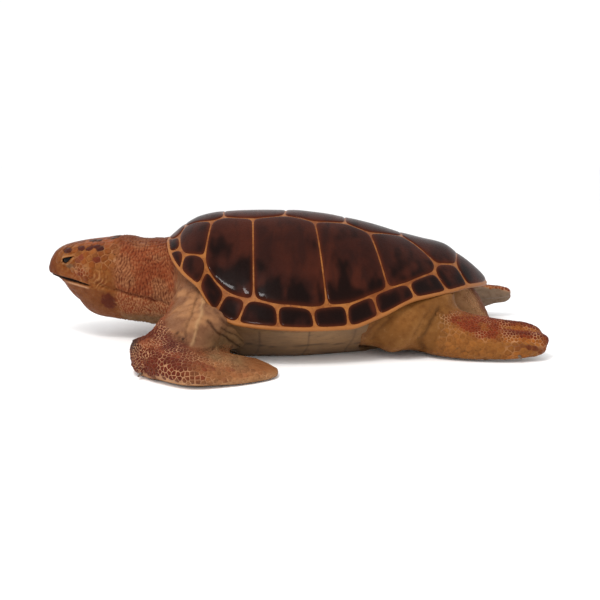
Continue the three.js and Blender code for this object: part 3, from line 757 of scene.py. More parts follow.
def seam_material():
    """Ochre horn between the plates and along the rim."""
    material, tree, bsdf = new_material(
        "shell_seam", Roughness=0.45, Coat_Weight=0.06, Coat_Roughness=0.1, Specular_IOR_Level=0.12
    )
    cloud = ramp(tree, object_noise(tree, 22, 4), 0.35, 0.68)
    fine = object_noise(tree, 150, 4, roughness=0.65)
    ochre = mix_colour(tree, cloud, rgb(108, 56, 18), rgb(140, 86, 38))
    worn = mix_colour(tree, ramp(tree, fine, 0.5, 0.72), ochre, rgb(98, 48, 16))
    rim = mix_colour(tree, attribute(tree, "rim"), worn, rgb(144, 90, 44))
    lumps = bump(tree, object_noise(tree, 90, 3), 0.5, 0.0015)
    drive(bsdf, Base_Color=rim, Normal=bump(tree, fine, 0.35, 0.0006, lumps))
    return material


def belly_material():
    """Greyish tan horn of the plastron and bridges."""
    material, tree, bsdf = new_material(
        "belly_horn", Roughness=0.5, Coat_Weight=0.04, Coat_Roughness=0.3, Specular_IOR_Level=0.15
    )
    cloud = ramp(tree, object_noise(tree, 9, 4), 0.3, 0.7)
    fine = object_noise(tree, 70, 5, roughness=0.7, stretch=(0.5, 1, 2))
    tan = mix_colour(tree, cloud, rgb(98, 73, 49), rgb(120, 90, 60))
    stained = mix_colour(tree, ramp(tree, fine, 0.45, 0.75), tan, rgb(90, 66, 44))
    lines = mix_colour(tree, attribute(tree, "groove"), stained, rgb(50, 35, 24))
    drive(bsdf, Base_Color=lines, Normal=bump(tree, fine, 0.3, 0.0012))
    return material


def skin_material():
    """Skin painted by the paint attribute, with pores, fine wrinkles and mottling."""
    material, tree, bsdf = new_material("skin", Roughness=0.5, Specular_IOR_Level=0.08)
    paint_colour = attribute(tree, "paint", "Color")
    mottle = object_noise(tree, 60, 5, roughness=0.7)
    stain = ramp(tree, mottle, 0.45, 0.75, 0, 0.55)
    dark = mix_colour(tree, stain, paint_colour, (0.42, 0.3, 0.24), "MULTIPLY")
    pale = mix_colour(tree, ramp(tree, mottle, 0.42, 0.24, 0, 0.4), dark, rgb(160, 116, 78))
    wrinkles = bump(tree, ramp(tree, cell_edges(tree, 260), 0.0, 0.16), 0.35, 0.0009)
    pores = bump(tree, object_noise(tree, 420, 3), 0.25, 0.0006, wrinkles)
    drive(bsdf, Base_Color=pale, Roughness=ramp(tree, mottle, 0.3, 0.7, 0.42, 0.62), Normal=pores)
    return material


def scale_material():
    """Horny scales: the skin's paint deepened, with worn pale rims."""
    material, tree, bsdf = new_material("scales", Roughness=0.42, Specular_IOR_Level=0.1)
    paint_colour = attribute(tree, "paint", "Color")
    mottle = object_noise(tree, 110, 4, roughness=0.65)
    stain = ramp(tree, mottle, 0.4, 0.7, 0.0, 0.5)
    deep = mix_colour(tree, stain, paint_colour, (0.45, 0.3, 0.22), "MULTIPLY")
    worn = ramp(tree, attribute(tree, "crown"), 0.4, 0.05, 0.0, 0.32)
    rim = mix_colour(tree, worn, deep, rgb(156, 112, 72))
    grain = bump(tree, object_noise(tree, 300, 4), 0.3, 0.0006)
    drive(bsdf, Base_Color=rim, Roughness=ramp(tree, mottle, 0.3, 0.7, 0.34, 0.52), Normal=grain)
    return material


def eye_material():
    material, tree, bsdf = new_material(
        "eye_wet", Roughness=0.12, Coat_Weight=0.16, Coat_Roughness=0.02, Specular_IOR_Level=0.04
    )
    depth = ramp(tree, object_noise(tree, 90, 2), 0.3, 0.7)
    drive(bsdf, Base_Color=mix_colour(tree, depth, rgb(6, 5, 7), rgb(16, 11, 10)))
    return material


def claw_material():
    material, tree, bsdf = new_material(
        "claw_horn", Roughness=0.35, Coat_Weight=0.3, Coat_Roughness=0.2
    )
    grain = object_noise(tree, 120, 3, stretch=(1, 4, 4))
    horn = mix_colour(tree, ramp(tree, grain, 0.35, 0.65), rgb(54, 38, 28), rgb(110, 80, 54))
    drive(bsdf, Base_Color=horn, Normal=bump(tree, grain, 0.3, 0.0005))
    return material


MATERIALS = {
    "horn": horn_material(),
    "seam": seam_material(),
    "belly": belly_material(),
    "skin": skin_material(),
    "scale": scale_material(),
    "eye": eye_material(),
    "claw": claw_material(),
}

# ---- the horn plates


def plate_rise(depth):
    """Height of a plate above the dome at a distance in from its outline."""
    shoulder = np.sqrt(1 - (1 - np.minimum(depth / PLATE_BEVEL, 1)) ** 2)
    crown = PLATE_CROWN * (1 - np.exp(-depth / 24))
    return PLATE_EDGE + (PLATE_RISE - PLATE_EDGE) * shoulder + crown


def horn_plate(name, outline):
    """One horn plate: a crowned top, a bevelled edge and a floor a little under the dome."""
    rings = [inset(outline, 2, d) for d in (0.7, 1.8, 3.4)]
    inner = np.concatenate(rings + [hex_grid(outline, PLATE_GRID, 5.2)])
    plan, faces = triangulate(outline, inner)
    depth = distance_to_loop(plan, outline)
    wave = wobble(off_dome(plan, 0), 60, 3, 1.2) * fade(depth, 2, 14)
    top = off_dome(plan, plate_rise(depth) + wave)
    n = len(outline)
    under = off_dome(outline, PLATE_EDGE - 2.4)
    _, floor = triangulate(outline, np.zeros((0, 2)))
    start = len(top)
    points = np.concatenate([top, under])
    faces = faces + wall(0, start, n)
    faces += [[start + i for i in face[::-1]] for face in floor]
    low_edge = rim_height(points[:, 0])
    height = (points[:, 2] - low_edge) / (midline_height(points[:, 0]) - low_edge)
    patchy = fractal(points, (38, 60, 90), 21)
    # Random dark patches, plus painted shade that grows towards the rim as the plate's height
    # falls.
    patches_and_painted_shade = fade(patchy - 0.55 * height, 0.1, 0.42) * 0.9
    edge_depth = np.concatenate([depth, np.zeros(n)])
    attributes = {"patches_and_painted_shade": patches_and_painted_shade, "edge": np.exp(-edge_depth / 3.0) * 0.8}
    make_object(f"horn_{name}", points, faces, MATERIALS["horn"], [name], attributes)


# ---- carapace and plastron


def carapace():
    """The ochre shell under the horn plates, and a tree of its faces for finding its underside."""
    right = half_rim(150)
    rim = np.concatenate([right, (right[1:-1] * [1, -1])[::-1]])[::-1]
    inner = hex_grid(rim, SHELL_GRID, 3.5)
    plan, faces = triangulate(rim, inner)
    depth = distance_to_loop(plan, rim)
    top = off_dome(plan, 0)
    lumpy = wobble(top, 14, 5, 0.9)
    top[:, 2] += (SEAM_RISE + lumpy) * fade(depth, -2, 4)
    n = len(rim)
    z = dome_height(*rim.T)
    lips = [(0.9, -1.4), (1.2, -3.4), (0.4, -5.8), (-2.0, -8.0)]
    rings = [np.column_stack([inset(rim, 1, -out), z + drop]) for out, drop in lips]
    for share in (0.93, 0.76, 0.4):
        p = DOME_CENTRE + (rim - DOME_CENTRE) * share
        thickness = CARAPACE_THICKNESS / np.maximum(dome_normal(*p.T)[:, 2], 0.5)
        rings.append(np.column_stack([p, dome_height(*p.T) - thickness]))
    points = np.concatenate([top] + rings + [rings[-1].mean(0)[None]])
    previous = 0
    for i in range(len(rings)):
        start = len(top) + i * n
        faces += wall(previous, start, n)
        previous = start
    faces += fan_back(previous, len(points) - 1, n)
    rim_share = np.zeros(len(points))
    rim_share[: len(top)] = 1 - fade(depth, 0.5, 4.5)
    rim_share[len(top) : len(top) + 3 * n] = 1
    rim = {"rim": rim_share * 0.8}
    make_object("shell_bone", points, faces, MATERIALS["seam"], ["carapace"], rim)
    return BVHTree.FromPolygons(points.tolist(), [list(f) for f in faces])


# Seams across the plastron: x at the midline, and lean towards the tail with |y|
PLASTRON_SEAMS = [
    (-285, 0.5), (-210, -0.25), (-95, 0.0), (50, 0.1), (175, -0.2), (290, -0.35),
]
BRIDGE_SEAMS = [-118, 6, 118]


def seam_lines(x, y):
    """How close a plan point is to a seam of the plastron or bridge, 0 to 1."""
    side = np.abs(y)
    inner, outer = flat_half_width(x), half_width(x) - 8
    along_bridge = side - (inner + (outer - inner) * 0.52) - 5 * np.sin(x / 34)
    foot = side - (inner - 14) - 4 * np.sin(x / 25)
    total = np.zeros(len(x))
    on_bridge = fade(side - inner, -22, -8)
    reach = (x > -175) & (x < 172)
    for offset, width, amount in ((along_bridge, 2.2, 0.9), (foot, 2.6, 0.6)):
        total = np.maximum(total, bell(offset, width) * amount * reach)
    for station in BRIDGE_SEAMS:
        bent = x - station - 0.18 * (side - inner) + 3 * np.sin(side / 17)
        total = np.maximum(total, bell(bent, 2.2) * 0.6 * on_bridge * reach)
    for station, lean in PLASTRON_SEAMS:
        bent = x - station - lean * side + 5 * np.sin(side / 30)
        total = np.maximum(total, bell(bent, 2.4) * 0.8 * (1 - on_bridge))
    middle = y + 4 * np.sin(x / 45)
    return np.maximum(total, bell(middle, 2.4) * 0.8)


def plastron():
    """The belly's horn: rings from the middle of its underside out to the lip and back above."""
    chain = PLASTRON_OUTLINE[1:-1]
    loop = [PLASTRON_OUTLINE[0]] + mirror_y(chain) + [PLASTRON_OUTLINE[-1]] + chain[::-1]
    outline = soften(walk(loop, PLASTRON_STEP), PLASTRON_SOFTENING)
    shares = 1 - np.linspace(0, 1, 46)[:-1] ** 1.5 * 0.97
    bottoms = []
    for share in shares[::-1]:
        x, y = (outline * share).T
        bottoms.append(np.column_stack([x, y, belly_height(x, y)]))
    tops = [np.column_stack([inset(outline, 1, -1.2), belly_height(*outline.T) + 4])]
    for share in (0.995, 0.88, 0.7, 0.35):
        x, y = (outline * share).T
        tops.append(np.column_stack([x, y, belly_height(x, y) + PLASTRON_THICKNESS]))
    points, faces = ring_solid(bottoms + tops)
    groove = seam_lines(points[:, 0], points[:, 1])
    groove[len(bottoms) * len(outline) : -2] = 0
    lift = groove * 1.1 * (points[:, 2] > 0.5)
    inward = np.column_stack([lift * 0, -np.sign(points[:, 1]), lift * 0 + 1]) * 0.7
    points = points + inward * lift[:, None]
    groove = {"groove": groove}
    make_object("belly_horn", points, faces, MATERIALS["belly"], ["plastron"], groove)


# ---- skin


def flesh_parts():
    parts = {"head_neck": body_loft(HEAD_NECK), "trunk": body_loft(TRUNK)}
    tail = [(x, 0, z, r, r * 0.92, 0) for x, z, r in refine(TAIL, 6)]
    parts["tail"] = path_loft(tail, 40)
    for side, sign in SIDES.items():
        parts[f"blade_{side}"] = mirrored(blade_loft(), sign)
        parts[f"arm_{side}"] = mirrored(level_loft(ARM), sign)
        parts[f"hind_{side}"] = mirrored(hind_loft(side), sign)
        parts[f"web_{side}"] = mirrored(level_loft(WEB), sign)
        parts[f"thigh_{side}"] = mirrored(level_loft(THIGH), sign)
    return parts


def remeshed(parts, voxel):
    """One closed mesh round all the parts."""
    mesh = bpy.data.meshes.new("skin")
    points, faces = [], []
    for part_points, part_faces in parts.values():
        start = sum(len(p) for p in points)
        points.append(part_points)
        faces += [[start + i for i in face] for face in part_faces]
    mesh.from_pydata(to_world(np.concatenate(points)).tolist(), [], faces)
    bm = bmesh.new()
    bm.from_mesh(mesh)
    bmesh.ops.recalc_face_normals(bm, faces=bm.faces)
    bm.to_mesh(mesh)
    bm.free()
    rough = bpy.data.objects.new("rough_skin", mesh)
    bpy.context.scene.collection.objects.link(rough)
    modifier = rough.modifiers.new("voxels", "REMESH")
    modifier.mode = "VOXEL"
    modifier.voxel_size = voxel * MM
    bpy.context.view_layer.update()
    evaluated = rough.evaluated_get(bpy.context.evaluated_depsgraph_get())
    result = bpy.data.meshes.new_from_object(evaluated)
    bpy.data.objects.remove(rough)
    bpy.data.meshes.remove(mesh)
    return result


def points_of(mesh):
    co = np.empty(len(mesh.vertices) * 3)
    mesh.vertices.foreach_get("co", co)
    return (co.reshape(-1, 3) - np.array([ORIGIN_SHIFT, 0, 0])) / MM


def set_points(mesh, points):
    mesh.vertices.foreach_set("co", to_world(points).ravel())
    mesh.update()


def normals_of(mesh):
    n = np.empty(len(mesh.vertices) * 3)
    mesh.vertices.foreach_get("normal", n)
    return n.reshape(-1, 3)


def edges_of(mesh):
    e = np.empty(len(mesh.edges) * 2, int)
    mesh.edges.foreach_get("vertices", e)
    return e.reshape(-1, 2)


def relaxed(points, edges, weight, passes):
    """Points drawn towards the mean of their neighbours, by weight, over some passes."""
    a, b = edges.T
    count = np.bincount(a, minlength=len(points)) + np.bincount(b, minlength=len(points))
    for _ in range(passes):
        mean = np.empty_like(points)
        for axis in range(3):
            place = points[:, axis]
            total = np.bincount(a, place[b], len(points)) + np.bincount(b, place[a], len(points))
            mean[:, axis] = total / count
        points = points + (mean - points) * weight[:, None]
    return points


def junction_weight(points, parts, reach):
    """1 where two parts of flesh meet, falling to 0 at reach from the second part."""
    distances = []
    for part_points, part_faces in parts.values():
        tree = BVHTree.FromPolygons(part_points.tolist(), part_faces)
        distances.append([tree.find_nearest(p, reach)[3] or reach for p in points.tolist()])
    distances = np.sort(np.array(distances), axis=0)
    return 1 - fade(distances[1], reach * 0.25, reach)


def subdivide_where(mesh, chosen):
    """Splits once the faces whose centres, in the design frame, are chosen."""
    bm = bmesh.new()
    bm.from_mesh(mesh)
    faces = []
    for face in bm.faces:
        centre = face.calc_center_median()
        if chosen((centre.x - ORIGIN_SHIFT) / MM, abs(centre.y) / MM, centre.z / MM):
            faces.append(face)
    edges = {edge for face in faces for edge in face.edges}
    bmesh.ops.subdivide_edges(bm, edges=list(edges), cuts=1, use_grid_fill=True)
    bm.to_mesh(mesh)
    bm.free()


# Where the skin's faces are split, by x, |y| and z


def on_head_or_neck(x, side, z):
    return x < -330


def at_web(x, side, z):
    return -280 < x < -120 and side > 280 and 34 < z < 170


def at_eye_or_mouth(x, side, z):
    at_mouth = x < -565 and abs(z - mouth_height(x)) < 9
    return at_mouth or math.dist((x, side, z), EYE) < 28


def mouth_height(x):
    return 182 - 0.17 * (x + 690)


def near_line(x, z, chain):
    """Distance in the side view to an open chain of (x, z) points."""
    best = np.full(len(x), np.inf)
    for (ax, az), (bx, bz) in zip(chain, chain[1:]):
        dx, dz = bx - ax, bz - az
        t = np.clip(((x - ax) * dx + (z - az) * dz) / (dx * dx + dz * dz), 0, 1)
        best = np.minimum(best, np.hypot(x - ax - t * dx, z - az - t * dz))
    return best


# Folds seen from the side: (x, z) chain, half-width, depth, painted shade in the crease (negative
# for a painted highlight on a raised fold)
SIDE_FOLDS = [
    ([(-258, 195), (-266, 150), (-284, 84)], 3.0, 3.0, 0.35),
    ([(-246, 190), (-246, 140), (-262, 78)], 4.0, -3.0, -0.5),
    ([(-228, 126), (-188, 72), (-147, 28)], 2.6, 3.5, 0.7),
    ([(-196, 104), (-150, 60), (-112, 26)], 2.2, 2.5, 0.6),
    ([(-300, 100), (-262, 66), (-214, 58)], 4.5, 4.5, 0.8),
    ([(-212, 146), (-176, 104), (-140, 84)], 3.0, 3.0, 0.4),
    ([(366, 132), (338, 94), (314, 56), (324, 24)], 6.0, 8.0, 0.3),
    ([(350, 142), (318, 108), (292, 70)], 3.0, 2.5, 0.14),
    ([(236, 118), (204, 84), (186, 52)], 3.0, 3.0, 0.25),
    ([(214, 120), (186, 92), (168, 66)], 3.0, 2.5, 0.3),
    ([(400, 36), (420, 26), (452, 30)], 2.5, 2.0, 0.4),
]


def blade_line(x):
    """Height below which the skin beside the shell belongs to the front flipper."""
    return np.maximum(np.maximum(122 - 0.514 * (x + 351), 84 - 0.3 * (x + 300)), 40)


def side_folds(points, column):
    """Sum over the folds of their depth (column 2) or painted shade (column 3), which is negative
    for a painted highlight.
    """
    x, y, z = points.T
    bent = wobble(points, 24, 45, 12)
    total = np.zeros(len(x))
    for fold in SIDE_FOLDS:
        chain, width = fold[:2]
        total += fold[column] * bell(near_line(x + bent, z, chain), width)
    on_blade = fade(blade_line(x) - z, -6, 6) * (x < 0)
    off_blade = 1 - fade(np.abs(y), 332, 350) * on_blade
    return total * fade(np.abs(y), 140, 190) * off_blade


def neck_beads(points):
    """Beads in upright rows round the neck, 0 in the grooves to 1 on a bead."""
    x, y, z = points.T
    around = np.arctan2(z - 165, np.abs(y)) * 115
    wander = wobble(points, 46, 35, 26) + wobble(points, 15, 38, 9)
    along = (x + 0.22 * (z - 160) + wander) / 7.2
    row = np.floor(along).astype(np.int64)
    across = 1 - (2 * (along - row) - 1) ** 2
    stagger = cell_value(row, row * 0, row * 0, 37) * 6
    around = around + wobble(points, 18, 43, 22)
    bead = 0.5 + 0.5 * np.cos(around / 13 * 2 * math.pi + stagger)
    return across * (0.5 + 0.5 * bead)


def fold_height(points):
    """Height of the fold that runs from the jaw back to the shoulder, between neck and throat."""
    x = points[:, 0]
    return 162 - 0.22 * (x + 555) + wobble(points, 30, 47, 16)


def fold_line(points, width):
    """How close a point is to that fold, 0 to 1."""
    x, _, z = points.T
    shown = fade(x, -585, -560) * (1 - fade(x, -400, -360))
    return bell(z - fold_height(points), width) * shown


def neck_share(x):
    return fade(x, -552, -512) * (1 - fade(x, -352, -316))


def chord_place(points):
    """Place across a hind flipper, from its outer low edge at -66 to its inner high edge at 66."""
    x, y, z = points.T
    turn = np.radians(np.interp(x, [252, 376, 438, 664], [8, 32, 42, 38]))
    centre_y = np.interp(x, [252, 312, 376, 438, 500, 664], [130, 168, 216, 246, 260, 255])
    centre_z = np.interp(x, [252, 376, 438, 664], [92, 68, 58, 48])
    return -(np.abs(y) - centre_y) * np.cos(turn) + (z - centre_z) * np.sin(turn)


def finger_ridges(points):
    """Ridges of the hind flipper's digits, -1 in the grooves to 1 on a ridge."""
    x, y, _ = points.T
    shown = fade(x, 490, 560) * fade(np.abs(y), 140, 180)
    return np.cos(chord_place(points) * 2 * math.pi / 40 + 0.4) * shown


def on_front_scales(p):
    wander = wobble(p, 26, 91, 30)
    low_arm = (p[:, 2] < 122 - 0.514 * (p[:, 0] + 351) + wander) & (np.abs(p[:, 1]) > 300)
    blade = (np.abs(p[:, 1]) > 300) & (p[:, 0] > -300) & (p[:, 2] < 84 - 0.3 * (p[:, 0] + 300))
    return (low_arm | blade) & (p[:, 0] < -20) & (p[:, 2] > 2) & (p[:, 2] < 125)


def on_hind_scales(p):
    edge = p[:, 0] + wobble(p, 26, 93, 44) - 0.25 * (p[:, 2] - 80)
    high = p[:, 2] < 116 + wobble(p, 20, 95, 24)
    return (np.abs(p[:, 1]) > 130) & (edge > 366) & (p[:, 2] > 2) & high


def on_head_scales(p):
    side = np.abs(p[:, 1])
    clear = np.hypot(p[:, 0] - EYE[0], p[:, 2] - EYE[2]) > 25
    low_edge = 184 + 0.5 * np.abs(p[:, 0] + 600) * (p[:, 0] < -600)
    joint = (p[:, 0] > -588) & (p[:, 2] < 214)
    shown = (p[:, 0] > -692) & (p[:, 0] + wobble(p, 24, 99, 40) < -520)
    return shown & (p[:, 2] > low_edge) & (clear | (side < FACE_SIDE)) & ~joint


def eye_place(points):
    """Place about the eye: along its slit, across it, half the opening, and the radius."""
    x, _, z = points.T
    dx, dz = x - EYE[0], z - EYE[2]
    turn = math.radians(26)
    along = dx * math.cos(turn) + dz * math.sin(turn)
    across = -dx * math.sin(turn) + dz * math.cos(turn)
    opening = np.interp(along, [-15, -12, -6, 4, 17], [0, 6.2, 7.2, 4.8, 0])
    return along, across, opening, np.hypot(dx, dz)


def lip_width(x):
    return 2.2 + 2.2 * bell(x + 655, 32)


def jaw_rings(points):
    """Concentric wrinkles behind the corner of the mouth, -1 to 1."""
    x, y, z = points.T
    reach = np.hypot((x + 612) * 0.8, z - 196) + wobble(points, 20, 39, 14)
    shown = bell(x + 560, 24, z - 182, 34) * (np.abs(y) > FACE_SIDE)
    return np.cos(reach * 2 * math.pi / 9) * shown


def relief(points):
    """How far beads, brow, folds, wrinkles and lumps raise the skin."""
    x, y, z = points.T
    side = np.abs(y)
    rows = wobble(np.column_stack([x, z * 0.3, side * 0.3]), (20, 60, 60), 35, 5.0)
    cheek = bell(x + 596, 30, z - 186, 34) * (side > FACE_SIDE)
    brow = bell(x + 655, 20, z - 256, 9) * (side > 25)
    throat = bell(x + 600, 40, z - 96, 30)
    chin_step = bell(x + 652 + 0.4 * (z - 130), 7) * (1 - fade(z, 138, 152))
    amount = neck_share(x) * ((neck_beads(points) - 0.45) * 4.0 + rows)
    amount += cheek * 5
    amount += jaw_rings(points) * 1.5
    amount += brow * 3.5
    amount += throat * 5
    amount -= chin_step * 5 * (x < HEAD_BACK)
    amount -= fold_line(points, 5.5) * 6 * (side > 20)
    amount -= side_folds(points, 2)
    amount += finger_ridges(points) * 3.2
    lumps = wobble(points, 46, 51, 3.0) + wobble(points, 13, 53, 1.6)
    return amount + lumps * (z > 3)


def mouth_depth(points):
    """How far the mouth, and the hollow below its lower lip, are cut into the head."""
    x, _, z = points.T
    gap = z - mouth_height(x)
    corner = 1 - fade(x, -602, -582)
    lips = bell(gap, lip_width(x)) * corner
    lower_lip = bell(gap + 8, 3.5) * corner * fade(x, -695, -670)
    below = fade(-gap, 0.5, 9) * bell(gap, 26) * (1 - fade(x, -700, -640))
    return lips * 8 + below * 4.5 - lower_lip * 2


def face_side(points):
    """Distance from the midplane of the face's skin, with the lids, slit and pouch of the eye."""
    x, y, z = points.T
    side = np.abs(y)
    along, across, opening, r = eye_place(points)
    near = r < EYE_RADIUS + EYE_RIM
    lid = np.sqrt(np.maximum((EYE_RADIUS + EYE_RIM) ** 2 - r**2, 0)) + EYE[1]
    inside = fade(opening - np.abs(across - 0.5), -0.9, 0.9) * near
    rim = bell(np.abs(across - 0.5) - opening - 1.6, 1.5) * near * (np.abs(along) < 17)
    lines = np.cos((np.abs(across) - opening) * 2 * math.pi / 4.5) * near
    lines *= np.abs(across) > opening + 2
    pouch = bell(r - 23, 3.5) * (z < EYE[2] + 6) * (x > EYE[0] - 14)
    target = np.where(near, np.maximum(side, lid), side)
    target = target - inside * 9
    target = target + rim * 1.4
    target = target + lines * 0.45
    return target - pouch * 2.4


def sculpt(points, normals):
    """Moves the skin's points to make eyes, mouth, nostrils, folds and wrinkles."""
    x, y, z = points.T
    side = np.abs(y)
    on_head = x < HEAD_BACK
    out = points + normals * relief(points)[:, None]
    out -= normals * (mouth_depth(points) * on_head)[:, None]
    shift = np.sign(y) * (face_side(points) - side)
    out[:, 1] = np.where(on_head & (side > FACE_SIDE), out[:, 1] + shift, out[:, 1])
    nostril = bell(x + 722, 5, side - 9, 3.5, z - 233, 4)
    out -= normals * (nostril * 6)[:, None]
    out[:, 2] = np.maximum(out[:, 2], 0)
    return out


# ---- the skin's colours

CREAM = rgb(206, 158, 116)
SHOULDER = rgb(136, 99, 77)
GREY_TAN = rgb(124, 102, 78)
NECK = rgb(144, 78, 48)
NECK_DARK = rgb(96, 42, 24)
NECK_PALE = rgb(196, 140, 104)
HEAD = rgb(136, 78, 33)
HEAD_PALE = rgb(152, 101, 55)
HEAD_TOP = rgb(148, 84, 52)
SNOUT = rgb(110, 54, 20)
SPOT = rgb(70, 26, 20)
CHEEK = rgb(118, 46, 16)
FLIPPER_RED = rgb(107, 43, 24)
FLIPPER_TAN = rgb(156, 108, 72)
HIND_RED = rgb(127, 43, 15)
HIND_OCHRE = rgb(156, 104, 52)
THIGH_OCHRE = rgb(137, 94, 49)
SLATE = rgb(48, 38, 42)
SOLE = rgb(116, 95, 77)

# Markings of the head: centre (x, |y|, z), radii, colour, strength
HEAD_MARKS = [
    ((-662, 60, 261), (15, 30, 9), SPOT, 0.95),
    ((-622, 66, 268), (13, 24, 8.5), SPOT, 0.95),
    ((-594, 70, 271), (12, 24, 8.5), SPOT, 0.95),
    ((-564, 72, 270), (15, 28, 11), SPOT, 1.0),
    ((-568, 88, 240), (15, 30, 12), rgb(110, 44, 30), 0.85),
    ((-622, 84, 240), (14, 30, 8), rgb(128, 64, 52), 0.7),
    ((-590, 36, 292), (26, 14, 12), SLATE, 0.9),
    ((-640, 20, 288), (20, 14, 12), SPOT, 0.8),
    ((-540, 20, 300), (22, 18, 12), SLATE, 0.8),
    ((-650, 62, 217), (15, 30, 7), rgb(120, 96, 76), 0.75),
    ((-543, 80, 120), (22, 46, 25), rgb(92, 34, 18), 0.85),
]


def blend(colour, target, amount):
    return colour + (np.asarray(target) - colour) * np.clip(amount, 0, 1)[:, None]


Noise = namedtuple("Noise", "warp fine patch streak")


def neck_region(x, noise):
    return 1 - fade(x + noise.warp, -360, -322)


def flipper_region(points, noise):
    x, y, z = points.T
    outer = fade(np.abs(y), 285, 315) * (1 - fade(x, -40, 40))
    return fade(blade_line(x) - z + noise.warp * 0.6, -8, 16) * outer


def neck_coats(points, noise):
    x, _, z = points.T
    neck = neck_region(x, noise)
    beads = neck_beads(points)
    beaded = neck * neck_share(x)
    under = neck * (1 - fade(z + noise.warp * 0.4, 66, 96))
    stripes = fade(beads, 0.3, 0.6)
    throat = neck * (1 - fade(z - fold_height(points), -8, 0)) * fade(x, -560, -525)
    return [
        (NECK, neck),
        (rgb(150, 104, 76), neck * fade(noise.patch, 0.5, 0.62) * 0.7),
        (rgb(132, 62, 34), neck * fade(noise.patch, 0.48, 0.36) * 0.6),
        (NECK_PALE, beaded * fade(beads, 0.5, 0.85) * (0.85 * noise.patch)),
        (NECK_DARK, beaded * fade(beads, 0.45, 0.12)),
        (rgb(96, 52, 38), neck * fade(z + noise.warp * 0.4, 262, 292) * 0.55),
        (rgb(206, 158, 120), throat * stripes * 0.42 * (1 - under)),
        (rgb(150, 66, 30), throat * (1 - stripes) * 0.7 * (1 - under)),
        (rgb(128, 100, 72), under * 0.85),
        # Painted shade along the crease of the fold between neck and throat.
        (rgb(92, 34, 18), fold_line(points, 4) * neck * 0.6),
    ]


def head_coats(points, noise):
    x, y, z = points.T
    side = np.abs(y)
    head = 1 - fade(x + noise.warp * 0.7, -540, -505)
    gap = z - mouth_height(x)
    jaw = head * (1 - fade(gap + noise.warp * 0.15, -14, -2))
    wrinkles = jaw_rings(points)
    squiggle = fractal(points, (13, 13, 9), 77, 2) - 0.5
    white = bell(squiggle, 0.035) * bell(x + 610, 40, z - 198, 30)
    coats = [
        (HEAD, head),
        (HEAD_PALE, head * fade(noise.fine, 0.45, 0.6) * 0.7),
        (HEAD_TOP, head * fade(z, 264, 286) * 0.9),
        (SNOUT, head * (1 - fade(x + noise.warp * 0.3, -708, -680)) * 0.8),
        (CHEEK, head * bell(x + 622, 26, z - 200, 20) * 0.9),
        (rgb(122, 72, 38), jaw * 0.8),
        (rgb(200, 148, 104), head * fade(wrinkles, 0.25, 0.8) * 0.7),
        (rgb(116, 54, 26), head * fade(wrinkles, -0.2, -0.8) * 0.8),
        (rgb(224, 180, 136), head * white * 0.35),
    ]
    for centre, radii, mark, strength in HEAD_MARKS:
        offset = (np.column_stack([x, side, z]) - centre) / radii
        reach = np.linalg.norm(offset, axis=1) + (noise.fine - 0.5) * 0.6
        coats.append((mark, (1 - fade(reach, 0.8, 1.15)) * strength))
    mouth = head * (1 - fade(x, -606, -590))
    lip = bell(gap + 8.5, 2.6) * mouth * fade(x, -680, -655)
    _, across, opening, r = eye_place(points)
    at_eye = head * (side > FACE_SIDE) * (r < EYE_RADIUS + 7)
    return coats + [
        # Painted shade darkens the slit between the jaws.
        (rgb(28, 16, 16), mouth * np.exp(-((gap / (lip_width(x) + 0.4)) ** 4))),
        # The lower lip is painted cream: partly its own pale colour, partly a painted highlight
        # along its raised edge.
        (rgb(208, 168, 140), lip * 0.8),
        (rgb(190, 142, 100), at_eye * bell(np.abs(across) - opening - 4.5, 2.6) * 0.8),
        (rgb(34, 20, 18), at_eye * fade(opening - np.abs(across - 0.5), -1.6, 0.2)),
    ]


def front_coats(points, noise):
    x, y, z = points.T
    flipper = flipper_region(points, noise)
    blade = flipper * fade(x + noise.warp, -290, -200)
    edge = flipper * (1 - fade(z + noise.warp * 0.3, 12, 26)) * fade(x, -350, -300)
    return [
        (FLIPPER_RED, flipper),
        (rgb(160, 88, 56), flipper * fade(noise.patch, 0.52, 0.66) * 0.7),
        (FLIPPER_TAN, blade * 0.85),
        (rgb(126, 56, 34), blade * fade(noise.streak, 0.48, 0.62) * fade(-x, 80, 190) * 0.85),
        (rgb(176, 134, 98), edge * 0.8),
        (rgb(92, 44, 40), bell(x + 290, 50, np.abs(y) - 440, 46) * flipper * 0.85),
        (SLATE, bell(x + 404, 16, z - 78, 22) * flipper * 0.9),
    ]


def rear_coats(points, noise):
    """Thighs, hind flippers and tail."""
    x, y, z = points.T
    side = np.abs(y)
    rear = fade(x, 130, 200)
    hind = rear * fade(x + noise.warp * 0.6 - 0.25 * (z - 80), 352, 400) * fade(side, 120, 160)
    hind = hind * (1 - fade(z + noise.warp * 0.3, 104, 126))
    upper = fade(chord_place(points) + noise.warp * 0.8, -34, -14)
    ridges = finger_ridges(points)
    tail = rear * (1 - fade(side, 40, 64)) * fade(x, 430, 470)
    return [
        (THIGH_OCHRE, rear),
        (rgb(158, 114, 66), rear * fade(noise.patch, 0.5, 0.64) * 0.7),
        (HIND_OCHRE, hind),
        (HIND_RED, hind * upper * 0.9),
        (rgb(160, 106, 50), hind * fade(noise.streak, 0.52, 0.66) * 0.5),
        (rgb(96, 34, 22), hind * fade(ridges, 0.35, 0.9) * 0.75),
        (rgb(178, 112, 50), hind * fade(ridges, -0.2, -0.8) * 0.7),
        (HIND_RED, hind * fade(x + noise.warp, 610, 650) * 0.6),
        # The tail's cream is painted paler than its own colour, as painted light that offsets the
        # shade it lies in.
        (rgb(216, 172, 134), tail),
        (rgb(118, 56, 30), tail * fade(x + 0.66 * z + noise.warp * 0.3, 578, 596) * 0.8),
    ]


